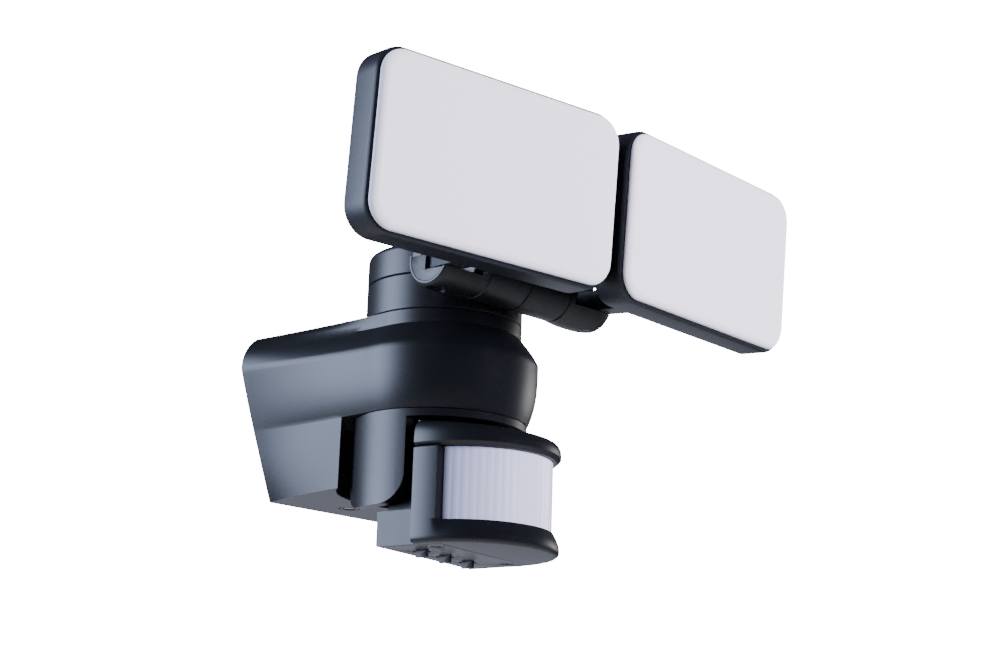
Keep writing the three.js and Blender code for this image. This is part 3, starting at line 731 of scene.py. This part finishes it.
class FLOODLIGHT_OT_arm_housing(PieceOperator, bpy.types.Operator):
    """Arm housing: collar, shoulder, drum and the arm back to the wall"""

    bl_idname = "floodlight.arm_housing"
    bl_label = "Arm housing"

    def build(self):
        steps = 44
        heights = [-ARM_DROP + i * (ARM_DROP - 0.2) / steps for i in range(1, steps)]
        edges = (CREASE_DROP, COLLAR_DROP)
        heights = [z for z in heights if all(abs(z + edge) > 1.2 for edge in edges)]
        heights = sorted({*heights, -CREASE_DROP, -COLLAR_DROP, -DRUM_DROP})
        shell = arm_form("arm_housing_shell", 0, -ARM_DROP, -0.2, REACH, heights)
        carve(shell, cylinder(NOTCH_R, -ARM_DROP - 5, -DRUM_DROP, segments=160))
        soften(shell, sizes().edge_round / MM, 3, 42)
        inner = arm_form("inside", WALL, WALL - ARM_DROP, -WALL - 0.2, REACH + 4, heights)
        carve(inner, cylinder(NOTCH_R + WALL, -ARM_DROP - 5, -DRUM_DROP + WALL, segments=96))
        carve(shell, inner)
        carve(
            shell,
            cylinder(STEM_R + GAP, -6, 2, segments=64),
            cylinder(ROTOR_STEM_R + GAP, -60, -40, segments=48),
            cylinder(3.4, -ARM_DROP - 2, -ARM_DROP + 6, 0, HOUSING_SCREW_Y, segments=32),
        )
        mark = cylinder(5.6, -ARM_DROP - 1, -ARM_DROP + 0.35, 0, HOUSING_SCREW_Y, segments=48)
        carve(mark, cylinder(4.9, -ARM_DROP - 2, -ARM_DROP + 2, 0, HOUSING_SCREW_Y, segments=48))
        carve(shell, mark)
        finish_piece(shell, CORE, "black_plastic", "base", "arm_housing")


class FLOODLIGHT_OT_turret(PieceOperator, bpy.types.Operator):
    """Turret: the swivelling body and its rounded cap"""

    bl_idname = "floodlight.turret"
    bl_label = "Turret"

    def build(self):
        inner = TURRET_R - 3
        body = turned(
            "turret_body_shell",
            [(17, -8), (STEM_R, -8), (STEM_R, 0.2), (39.5, 0.2), (TURRET_R, 0.7),
             (TURRET_R, TURRET_SPLIT - 0.6), (39.6, TURRET_SPLIT - 0.2),
             (inner, TURRET_SPLIT - 0.2), (inner, 3.2), (17, 3.2), (17, -8)],
            128,
        )
        edge = [(TURRET_R - inset, TURRET_TOP - 3.2 + rise) for inset, rise in rounding(3.2, 8)]
        cap = turned(
            "turret_cap_shell",
            [(inner, TURRET_TOP - 3), (inner, TURRET_SPLIT + 0.2), (39.6, TURRET_SPLIT + 0.2),
             (TURRET_R, TURRET_SPLIT + 0.6), *edge, (24, TURRET_TOP), (0, TURRET_TOP)],
            128,
        )
        for piece, node in ((body, "turret_body"), (cap, "turret_cap")):
            carve(
                piece,
                cylinder(BAR_R + GAP, -BAR_HALF - 2, BAR_HALF + 2, BAR.y, BAR.z, "X", 96),
                brick(-12.3, 12.3, -45, -30, 5.7, 25.3),
            )
            finish_piece(piece, CORE, "black_plastic", "turret", node)


class FLOODLIGHT_OT_crossbar(PieceOperator, bpy.types.Operator):
    """Crossbar: two half shells that meet in the middle"""

    bl_idname = "floodlight.crossbar"
    bl_label = "Crossbar"

    def build(self):
        for side_name, side in SIDES:
            near, far, edge = 0.15, BAR_HALF - 0.15, 0.5
            tube = turned(
                f"{side_name}_bar_half",
                [(BAR_R - 2.4, near), (BAR_R - edge, near), (BAR_R, near + edge),
                 (BAR_R, far - edge), (BAR_R - edge, far), (4.3, far), (4.3, far - 2.4),
                 (BAR_R - 2.4, far - 2.4), (BAR_R - 2.4, near)],
                96,
            )
            notch = brick(-BAR_R - 1, -BAR_R + 2.6, -3.4, 3.4, -1, 1.1)
            move_mesh(notch, Matrix.Rotation(math.radians(-side * NOTCH_TURN), 4, "Z"))
            carve(tube, notch)
            turn = Matrix.Rotation(math.radians(90 * side), 4, "Y")
            place = CORE @ Matrix.Translation(BAR) @ turn
            finish_piece(tube, place, "black_plastic", "turret", f"{side_name}_bar_shell")


class FLOODLIGHT_OT_knuckles(PieceOperator, bpy.types.Operator):
    """Knuckles: open bowls that carry the lamp necks, each with an end cover"""

    bl_idname = "floodlight.knuckles"
    bl_label = "Knuckles"

    def build(self):
        profile = [
            (0.01, 28.15), (BAR_R - 0.4, 28.15), (BAR_R, 28.6), (14.5, 30.5), (15.0, 34),
            (CUP_R, 39), (CUP_R, 50), (15.2, 52.5), (14.8, 55), (14.3, 57),
            (13.8, CUP_END - 0.4), (13.3, CUP_END), (0.01, CUP_END),
        ]
        bowl = turned("knuckle_bowl", profile)
        move_mesh(bowl, Matrix.Rotation(math.radians(90), 4, "Y"))
        far = CUP_R + 2
        carve(
            bowl,
            brick(31, CUP_WALL, -far, CUP_REAR, LAP_Z, far),
            brick(31, CUP_WALL, 0, far, REAR_TOP, far),
            brick(CUP_WALL - 1, CUP_END + 1, -far, 1.5, LAP_Z, far),
            brick(CUP_WALL - 1, CUP_END + 1, -far, far, 1.3, far),
            cylinder(CUP_CAP_R + 0.2, CUP_END - 0.9, CUP_END + 1, 0, 0, "X", 64),
            cylinder(4.3, 27, 32, 0, 0, "X", 32),
            cylinder(11, 30.9, 42, 0, 0, "X", 64),
            cylinder(3.1, -20, 0, NECK_X, 0, segments=32),
            cylinder(4.9, -20, -11, NECK_X, 0, segments=32),
        )
        soften(bowl, 0.35, 2, 40)
        cover = cylinder(CUP_CAP_R, CUP_END - 0.7, CUP_END - 0.1, 0, 0, "X", 64)
        carve(cover, brick(CUP_END - 2, CUP_END + 1, -20, 20, 1, 20))
        carve(cover, brick(CUP_END - 2, CUP_END + 1, -20, 1.8, LAP_Z - 0.3, 20))
        soften(cover, 0.2, 2, 40)
        for side_name, side in SIDES:
            for piece, label, node in (
                (bowl, "knuckle_bowl", "knuckle"),
                (cover, "knuckle_cover", "knuckle_cap"),
            ):
                make = copied if side > 0 else mirrored
                twin = make(piece, f"{side_name}_{label}")
                body = f"{side_name}_knuckle_body"
                finish_piece(twin, TILTED, "black_plastic", body, f"{side_name}_{node}")
        for piece in (bowl, cover):
            bpy.data.objects.remove(piece, do_unlink=True)


def yaw_place(side):
    """A head's yaw axis, turned to the rest angle."""
    turn = Matrix.Rotation(side * REST_YAW, 4, "Z")
    return TILTED @ Matrix.Translation((side * NECK_X, 0, 0)) @ turn


def lamp_place(side):
    """The middle of a head's front, which stands to the side of its yaw axis."""
    return yaw_place(side) @ Matrix.Translation((side * HEAD_OUT, 0, HEAD_RISE))


def fit_heads(form, label, slot_name, node):
    """Give each head its own copy of a form."""
    for side_name, side in SIDES:
        piece = copied(form, f"{side_name}_{label}")
        finish_piece(piece, lamp_place(side), slot_name, f"{side_name}_head", f"{side_name}_{node}")
    bpy.data.objects.remove(form, do_unlink=True)


class FLOODLIGHT_OT_necks(PieceOperator, bpy.types.Operator):
    """Lamp necks: from the yaw bolt forward to the back of each lamp"""

    bl_idname = "floodlight.necks"
    bl_label = "Lamp necks"

    def build(self):
        low, high = LAP_Z + 0.35, NECK_HEIGHT + LAP_Z + 0.35
        plate = HEAD_BACK + GAP
        for side_name, side in SIDES:
            outline = [(-NECK_HALF, 0), (-7.2, plate + 2), (7.2, plate + 2), (NECK_HALF, 0)]
            for i in range(1, 16):
                angle = math.pi * i / 16
                outline.append((NECK_HALF * math.cos(angle), NECK_HALF * math.sin(angle)))
            neck = outline_block(f"{side_name}_lamp_neck", outline, low, high)
            foot = brick(-16, 16, plate, plate + 3.2, low - 2.5, high + 8)
            soften(foot, 1.4, 4, 40)
            weld(neck, foot)
            carve(neck, cylinder(3, -20, 20, segments=32))
            soften(neck, 0.6, 3, 42)
            finish_piece(
                neck, yaw_place(side), "lamp_plastic", f"{side_name}_head", f"{side_name}_neck"
            )


class FLOODLIGHT_OT_lamp_housings(PieceOperator, bpy.types.Operator):
    """Lamp housings: shallow rounded trays with recessed screws in the back"""

    bl_idname = "floodlight.lamp_housings"
    bl_label = "Lamp housings"

    def build(self):
        width, height, corner = HEAD_W + 1, HEAD_H + 1, HEAD_CORNER
        edge = [(HEAD_BACK - 1.4 + rise, inset) for inset, rise in rounding(1.4, 5)]
        lip = [
            (HEAD_RIM + rise, inset)
            for rise, inset in ((0.2, 2.4), (0.2, 1.5), (0.7, 0.6), (1.6, 0.12), (2.6, 0))
        ]
        outer = slab("lamp_tray", width, height, corner, [*lip, *edge], 14)
        inside = (width - 2 * LAMP_WALL, height - 2 * LAMP_WALL, corner - LAMP_WALL)
        carve(outer, slab("inside", *inside, [(HEAD_RIM - 4, 0), (HEAD_BACK - 2.6, 0)], 10))
        upright(outer)
        for x in (-1, 1):
            for z in (-1, 1):
                px = x * (HEAD_W / 2 - LAMP_SCREW_INSET)
                pz = z * (HEAD_H / 2 - LAMP_SCREW_INSET)
                carve(outer, cylinder(3.6, HEAD_BACK - 1.1, HEAD_BACK + 2, px, pz, "Y", 40))
                carve(outer, cylinder(1.9, HEAD_BACK - 6, HEAD_BACK + 2, px, pz, "Y", 24))
        fit_heads(outer, "lamp_tray", "lamp_plastic", "lamp_housing")


def upright(piece):
    """Stand a plate that was grown along Z up, so that its thickness runs along Y."""
    for vertex in piece.data.vertices:
        x, y, z = vertex.co
        vertex.co = (x, z, y)
    tidy_mesh(piece)


class FLOODLIGHT_OT_diffusers(PieceOperator, bpy.types.Operator):
    """Diffusers: opal covers with soft front edges"""

    bl_idname = "floodlight.diffusers"
    bl_label = "Diffusers"

    def build(self):
        width, height = HEAD_W + 1 - 2 * DIFFUSER_INSET, HEAD_H + 1 - 2 * DIFFUSER_INSET
        corner = HEAD_CORNER - DIFFUSER_INSET
        radius = sizes().diffuser_round / MM
        edge = [(HEAD_FRONT + radius - rise, 1.3 * inset) for inset, rise in rounding(radius, 14)]
        steps = [(HEAD_RIM, 2.6), (HEAD_RIM, 0.3), (HEAD_RIM - 0.3, 0.0), *edge]
        cover = slab("diffuser_cover", width, height, corner, steps, 14)
        inside = (width - 2 * DIFFUSER_WALL, height - 2 * DIFFUSER_WALL, corner - DIFFUSER_WALL)
        carve(cover, slab("inside", *inside, [(HEAD_RIM + 3, 0), (HEAD_FRONT + 2.4, 0)], 10))
        upright(cover)
        fit_heads(cover, "diffuser_cover", "opal_diffuser", "diffuser")


class FLOODLIGHT_OT_pan_rotor(PieceOperator, bpy.types.Operator):
    """Pan rotor: the disc under the drum and its two round-cornered ears"""

    bl_idname = "floodlight.pan_rotor"
    bl_label = "Pan rotor"

    def build(self):
        inner = ROTOR_R - EAR_THICK
        skirt = turned(
            "pan_rotor_yoke",
            [(inner, EAR_FOOT), (ROTOR_R, EAR_FOOT), (ROTOR_R, ROTOR_TOP), (inner, ROTOR_TOP),
             (inner, EAR_FOOT)],
            160,
        )
        points = [(EAR_FRONT, ROTOR_TOP + 5)]
        for centre, start in ((EAR_FRONT + EAR_CORNER, 180), (EAR_BACK - EAR_CORNER, 270)):
            for i in range(17):
                angle = math.radians(start + 90 * i / 16)
                across, down = EAR_CORNER * math.cos(angle), EAR_CORNER * math.sin(angle)
                points.append((centre + across, EAR_FOOT + EAR_CORNER + down))
        points.append((EAR_BACK, ROTOR_TOP + 5))
        ears = outline_block("tool", points, -60, 60, "X")
        combine(skirt, "INTERSECT", ears)
        plate = cylinder(ROTOR_R, ROTOR_TOP - ROTOR_PLATE, ROTOR_TOP, segments=160)
        weld(skirt, plate)
        soften(skirt, 0.5, 3, 42)
        weld(skirt, cylinder(ROTOR_STEM_R, ROTOR_TOP - 1, -44, segments=64))
        for side in (-1, 1):
            low, high = sorted((side * (RECESS_X + 0.4), side * (inner + 2)))
            weld(skirt, cylinder(PIVOT_R, low, high, TILT_Y, TILT_Z, "X", 48))
        bore = cylinder(PIN_HOLE_R, -PIN_END - 0.3, PIN_END + 0.3, TILT_Y, TILT_Z, "X", 32)
        carve(skirt, cylinder(5, -70, -40, segments=32), bore)
        finish_piece(skirt, PAN, "black_plastic", "pan_rotor_body", "pan_rotor")


def sensor_turned(name, profile):
    """A turned form about the sensor's own axis."""
    piece = turned(name, profile, 160)
    move_mesh(piece, Matrix.Translation((0, SENSOR_Y, 0)))
    return piece


def behind(y):
    """A block that holds everything of the sensor behind a plane."""
    return brick(-SENSOR_CLEAR, SENSOR_CLEAR, y, SENSOR_CLEAR, SENSOR_UNDER, SENSOR_OVER)


def add_tail(piece, foot, top):
    """Put a straight-sided tail in place of the round form's back."""
    carve(piece, behind(RECESS_Y))
    weld(piece, brick(-TAIL_HALF, TAIL_HALF, RECESS_Y - 1, SENSOR_BACK, foot, top))


def trim_sensor(piece):
    """Cut the back flat and set both sides back for the ears."""
    carve(piece, behind(SENSOR_BACK))
    for side in (-1, 1):
        low, high = sorted((side * RECESS_X, side * SENSOR_CLEAR))
        carve(piece, brick(low, high, RECESS_Y, SENSOR_CLEAR, RECESS_Z, SENSOR_OVER))


def sector_tool(inner, outer, low, high, inner_angle, outer_angle, steps=64):
    """A front sector about the sensor's axis, between two radii with a half angle each."""
    points = []
    for radius, half_angle, order in (
        (outer, outer_angle, range(steps + 1)),
        (inner, inner_angle, range(steps, -1, -1)),
    ):
        for i in order:
            angle = -math.pi / 2 - half_angle + 2 * half_angle * i / steps
            points.append((radius * math.cos(angle), SENSOR_Y + radius * math.sin(angle)))
    return outline_block("tool", points, low, high)


def chamber_tools(low, high):
    """The hollow inside the sensor: a round front and a square back."""
    round_part = cylinder(LENS_R - 2.4, low, high, 0, SENSOR_Y, segments=96)
    carve(round_part, behind(RECESS_Y - WALL))
    square = brick(-29, 29, RECESS_Y - 4, CHAMBER_BACK, low, high)
    return weld(round_part, square)


def plate_tool(name, margin, low, high):
    """The control plate's form, made smaller by a margin all round."""
    plate = brick(-38 + margin, 38 - margin, -29 + margin, SENSOR_BACK - 1.2 - margin, low, high)
    plate.name = name
    return plate


class FLOODLIGHT_OT_sensor_housing(PieceOperator, bpy.types.Operator):
    """Sensor housing: the body with its window and the sloping cap"""

    bl_idname = "floodlight.sensor_housing"
    bl_label = "Sensor housing"

    def build(self):
        foot = SENSOR_FOOT
        rim = [
            (radius, foot + rise)
            for radius, rise in (
                (41.0, 0), (43.0, 0.25), (43.9, 0.9), (SENSOR_R, 2.0), (SENSOR_R, 3.4),
                (44.1, 5.2), (43.4, 7.2), (42.4, 9.2), (41.6, 10.6),
            )
        ]
        body = sensor_turned(
            "sensor_body_shell",
            [(0.01, foot), *rim, (41.3, WINDOW_FOOT), (SENSOR_R, WINDOW_FOOT + 0.05),
             (SENSOR_R, CAP_SEAM - 0.5), (SENSOR_R - 0.3, CAP_SEAM - 0.2), (0.01, CAP_SEAM - 0.2)],
        )
        for vertex in body.data.vertices:
            x, y = vertex.co.x, vertex.co.y - SENSOR_Y
            radius = math.hypot(x, y)
            if radius > 41.1 and foot + 3 < vertex.co.z < WINDOW_FOOT + 0.02:
                aside = abs(math.atan2(x, -y))
                fade = share(aside, JAMB_ANGLE - 0.10, JAMB_ANGLE + 0.02)
                wanted = blend(radius, SENSOR_R, fade * fade * (3 - 2 * fade))
                vertex.co.x, vertex.co.y = x * wanted / radius, SENSOR_Y + y * wanted / radius
        add_tail(body, foot, CAP_SEAM - 0.2)
        trim_sensor(body)
        weld(body, cylinder(PIVOT_R, -RECESS_X, RECESS_X, TILT_Y, TILT_Z, "X", 64))
        carve(body, chamber_tools(WINDOW_FOOT + 2, -60))
        for inner, outer, wide in (
            (LENS_R - 3.4, LENS_R, WINDOW_ANGLE),
            (LENS_R - 0.01, SENSOR_R + 0.5, JAMB_ANGLE),
        ):
            carve(body, sector_tool(inner, outer, WINDOW_FOOT, -60, WINDOW_ANGLE, wide))
        carve(body, plate_tool("tool", -GAP, foot - 1, foot + 3.3))
        for x in KNOB_X:
            carve(body, cylinder(2.3, foot, WINDOW_FOOT + 4, x, KNOB_Y, segments=24))
        for x in SCREW_X:
            carve(body, cylinder(1.9, foot, foot + 9.6, x, SCREW_Y, segments=24))
        carve(body, cylinder(PIN_HOLE_R, -SENSOR_CLEAR, SENSOR_CLEAR, TILT_Y, TILT_Z, "X", 32))
        soften(body, 0.35, 2, 48)
        finish_piece(body, PAN, "black_plastic", "sensor", "sensor_body")

        top = SENSOR_TOP
        cap = sensor_turned(
            "sensor_cap_shell",
            [(0.01, CAP_SEAM), (42.2, CAP_SEAM), (44.0, CAP_SEAM + 1.5), (SENSOR_R, CAP_SEAM + 2.1),
             (SENSOR_R, top - 8.5), (44.2, top - 6), (43.7, top - 4), (43.0, top - 2.4),
             (42.2, top - 1.2), (41.2, top - 0.4), (40.2, top), (0.01, top)],
        )
        front = [v for v in cap.data.vertices if v.co.z > CAP_SEAM + 2 and v.co.y < RECESS_Y]
        for vertex in front:
            depth = share(vertex.co.y, RECESS_Y, SENSOR_Y - SENSOR_R)
            height = share(vertex.co.z, CAP_SEAM + 2, top)
            vertex.co.z -= SENSOR_SLOPE * depth * height
        add_tail(cap, CAP_SEAM, top)
        trim_sensor(cap)
        carve(cap, chamber_tools(CAP_SEAM - 1, top - SENSOR_SLOPE - 2.4))
        carve(cap, cylinder(8.8, -RECESS_X - 1, RECESS_X + 1, TILT_Y, TILT_Z, "X", 64))
        soften(cap, 0.35, 2, 48)
        finish_piece(cap, PAN, "black_plastic", "sensor", "sensor_cap")


class FLOODLIGHT_OT_sensor_lens(PieceOperator, bpy.types.Operator):
    """Sensor lens: a curved window with fine upright segments"""

    bl_idname = "floodlight.sensor_lens"
    bl_label = "Sensor lens"

    def build(self):
        count = sizes().lens_segments
        half = WINDOW_ANGLE - math.radians(0.6)
        points = []
        for i in range(count):
            for t, proud in ((0.0, -0.12), (0.12, -0.01), (0.5, 0.0), (0.88, -0.01)):
                angle = -math.pi / 2 - half + 2 * half * (i + t) / count
                radius = LENS_R + proud
                points.append((radius * math.cos(angle), SENSOR_Y + radius * math.sin(angle)))
        radius = LENS_R - 2
        for i in range(49):
            angle = -math.pi / 2 + half - 2 * half * i / 48
            points.append((radius * math.cos(angle), SENSOR_Y + radius * math.sin(angle)))
        lens = outline_block("sensor_lens_window", points, WINDOW_FOOT + 0.2, CAP_SEAM - 0.2)
        finish_piece(lens, PAN, "milky_lens", "sensor", "sensor_lens")


class FLOODLIGHT_OT_controls(PieceOperator, bpy.types.Operator):
    """Controls: the plate under the sensor with its screw holes, and three knobs with raised pointers"""

    bl_idname = "floodlight.controls"
    bl_label = "Controls"

    def build(self):
        foot = SENSOR_FOOT
        plate = plate_tool("control_cover", 0, foot, foot + 3)
        for x in KNOB_X:
            carve(plate, cylinder(KNOB_R + 0.4, foot - 1, foot + 4, x, KNOB_Y, segments=48))
        for x in SCREW_X:
            carve(plate, cylinder(1.9, foot - 1, foot + 4, x, SCREW_Y, segments=24))
            carve(plate, cylinder(3.3, foot - 1, foot + 1.8, x, SCREW_Y, segments=32))
        for x in KNOB_X:
            for i in range(5):
                angle = math.radians(-90 + 67.5 * (i - 2))
                tick = brick(6.0, 7.6, -0.25, 0.25, foot - 1, foot + 0.3)
                move_mesh(tick, Matrix.Translation((x, KNOB_Y, 0)) @ Matrix.Rotation(angle, 4, "Z"))
                carve(plate, tick)
        soften(plate, 0.25, 2, 48)
        finish_piece(plate, PAN, "black_plastic", "sensor", "control_plate")

        disc = turned(
            "knob",
            [(0.01, foot + 0.3), (KNOB_R - 0.5, foot + 0.3), (KNOB_R, foot + 0.8),
             (KNOB_R, foot + 2.8), (2, foot + 2.8), (2, WINDOW_FOOT + 1.4), (0.01, WINDOW_FOOT + 1.4)],
            48,
        )
        blade = brick(-0.8, 0.8, -3.6, 3.2, foot - 3, foot + 0.5)
        weld(disc, blade)
        soften(disc, 0.22, 2, 48)
        for name, x in zip(("time", "light", "range"), KNOB_X):
            knob = copied(disc, f"{name}_knob_pointer")
            place = PAN @ Matrix.Translation((x, KNOB_Y, 0))
            finish_piece(knob, place, "black_plastic", f"{name}_knob_body", f"{name}_knob")
        bpy.data.objects.remove(disc, do_unlink=True)


class FLOODLIGHT_OT_kept_nodes(PieceOperator, bpy.types.Operator):
    """Small metal, rubber and board pieces: the finish of each kept part of the frame"""

    bl_idname = "floodlight.kept_nodes"
    bl_label = "Small pieces"

    def build(self):
        for row in frame["record"]["subparts"]:
            node = frame["nodes"][row["node"]]
            node.data.materials.clear()
            node.data.materials.append(finish_for(row["material_slot"]))


# The photograph's camera, in metres, with its right and up directions
CAMERA_LENS = 73.35
CAMERA_PLACE = (-0.6877, -0.8315, -0.2244)
CAMERA_RIGHT = (0.70857, -0.70498, 0.03022)
CAMERA_UP = (-0.19978, -0.15935, 0.96680)

SURROUNDINGS_STRENGTH = 0.09
BACKDROP_STRENGTH = 24.0
LIGHT_SPREAD = math.radians(70)
LIGHT_TARGET = (0, -0.12, 0.02)

# Each light's name, place in metres, diameter, power, colour, and whether it shows in reflections
STUDIO_LIGHTS = (
    ("front_softbox", (0.8, -2.2, 0.4), 1.4, 39, (1.0, 0.985, 1.0), False),
    ("left_softbox", (-1.65, 1.05, 0.35), 2.0, 28, (0.62, 0.73, 1.0), True),
    ("back_softbox", (1.3, 1.5, -0.45), 1.4, 0.7, (0.74, 0.78, 1.0), True),
    ("side_strip", (2.0, -0.2, 0.2), 0.8, 1.2, (1.0, 0.98, 1.0), True),
    ("floor_light", (0.0, 0.8, 3.2), 3.0, 26, (1.0, 1.0, 1.0), False),
)


class FLOODLIGHT_OT_stage(PieceOperator, bpy.types.Operator):
    """Stage: a pale floor, soft studio lights, the surroundings and the camera"""

    bl_idname = "floodlight.stage"
    bl_label = "Stage"

    def build(self):
        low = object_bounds()[0]
        clear_selection()
        bpy.ops.mesh.primitive_plane_add(size=12, location=(0, 0, low[2] - sizes().floor_drop))
        floor = named("studio_floor")
        bpy.ops.object.transform_apply(location=True)
        tree = Tree("studio_floor", Specular_IOR_Level=0.2)
        soft = tree.noise(3.0, 2.0, 0.5)
        tree.feed(
            Base_Color=tree.mixed(soft, (0.80, 0.80, 0.80, 1), (0.86, 0.86, 0.86, 1)),
            Roughness=0.7 + (soft - 0.5) * 0.1,
        )
        floor.data.materials.append(tree.material)
        floor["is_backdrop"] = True

        for name, place, size, power, colour, reflected in STUDIO_LIGHTS:
            bpy.ops.object.light_add(type="AREA", location=place)
            light = bpy.context.active_object
            light.name = name
            light.data.shape = "DISK"
            light.data.size = size
            light.data.energy = power
            light.data.color = colour
            light.visible_glossy = reflected
            light.data.spread = LIGHT_SPREAD
            aim = Vector(LIGHT_TARGET) - Vector(place)
            light.rotation_euler = aim.to_track_quat("-Z", "Y").to_euler()

        world = bpy.data.worlds.new("studio")
        world.use_nodes = True
        nodes, links = world.node_tree.nodes, world.node_tree.links
        surroundings = nodes["Background"]
        surroundings.inputs["Color"].default_value = (0.86, 0.90, 1.0, 1)
        surroundings.inputs["Strength"].default_value = SURROUNDINGS_STRENGTH
        backdrop = nodes.new("ShaderNodeBackground")
        backdrop.inputs["Strength"].default_value = BACKDROP_STRENGTH
        seen = nodes.new("ShaderNodeLightPath")
        chosen = nodes.new("ShaderNodeMixShader")
        links.new(seen.outputs["Is Camera Ray"], chosen.inputs["Fac"])
        links.new(surroundings.outputs["Background"], chosen.inputs[1])
        links.new(backdrop.outputs["Background"], chosen.inputs[2])
        links.new(chosen.outputs["Shader"], nodes["World Output"].inputs["Surface"])
        bpy.context.scene.world = world

        bpy.ops.object.camera_add()
        camera = bpy.context.active_object
        camera.name = "camera"
        camera.data.lens = CAMERA_LENS
        camera.data.sensor_width = 36
        camera.data.clip_start = 0.01
        right, up = Vector(CAMERA_RIGHT), Vector(CAMERA_UP)
        back = right.cross(up)
        columns = Matrix((right, up, back)).transposed().to_4x4()
        camera.matrix_world = Matrix.Translation(CAMERA_PLACE) @ columns
        bpy.context.scene.camera = camera


class FLOODLIGHT_PT_panel(bpy.types.Panel):
    """The floodlight's pieces and settings"""

    bl_idname = "FLOODLIGHT_PT_panel"
    bl_label = "Floodlight"
    bl_space_type = "VIEW_3D"
    bl_region_type = "UI"
    bl_category = "Floodlight"

    def draw(self, context):
        layout = self.layout
        for group in (context.scene.floodlight_sizes, context.scene.floodlight_colours):
            for key in group.bl_rna.properties.keys():
                if key not in ("rna_type", "name"):
                    layout.prop(group, key)
        for operator in OPERATORS:
            layout.operator(operator.bl_idname)


OPERATORS = (
    FLOODLIGHT_OT_arm_housing,
    FLOODLIGHT_OT_turret,
    FLOODLIGHT_OT_crossbar,
    FLOODLIGHT_OT_knuckles,
    FLOODLIGHT_OT_necks,
    FLOODLIGHT_OT_lamp_housings,
    FLOODLIGHT_OT_diffusers,
    FLOODLIGHT_OT_pan_rotor,
    FLOODLIGHT_OT_sensor_housing,
    FLOODLIGHT_OT_sensor_lens,
    FLOODLIGHT_OT_controls,
    FLOODLIGHT_OT_kept_nodes,
    FLOODLIGHT_OT_stage,
)
CLASSES = (FloodlightSizes, FloodlightColours, *OPERATORS, FLOODLIGHT_PT_panel)


def register():
    for cls in CLASSES:
        bpy.utils.register_class(cls)
    bpy.types.Scene.floodlight_sizes = bpy.props.PointerProperty(type=FloodlightSizes)
    bpy.types.Scene.floodlight_colours = bpy.props.PointerProperty(type=FloodlightColours)


def unregister():
    del bpy.types.Scene.floodlight_colours
    del bpy.types.Scene.floodlight_sizes
    for cls in reversed(CLASSES):
        bpy.utils.unregister_class(cls)


def main():
    register()
    for operator in OPERATORS:
        group, action = operator.bl_idname.split(".")
        getattr(getattr(bpy.ops, group), action)()


if __name__ == "__main__":
    main()
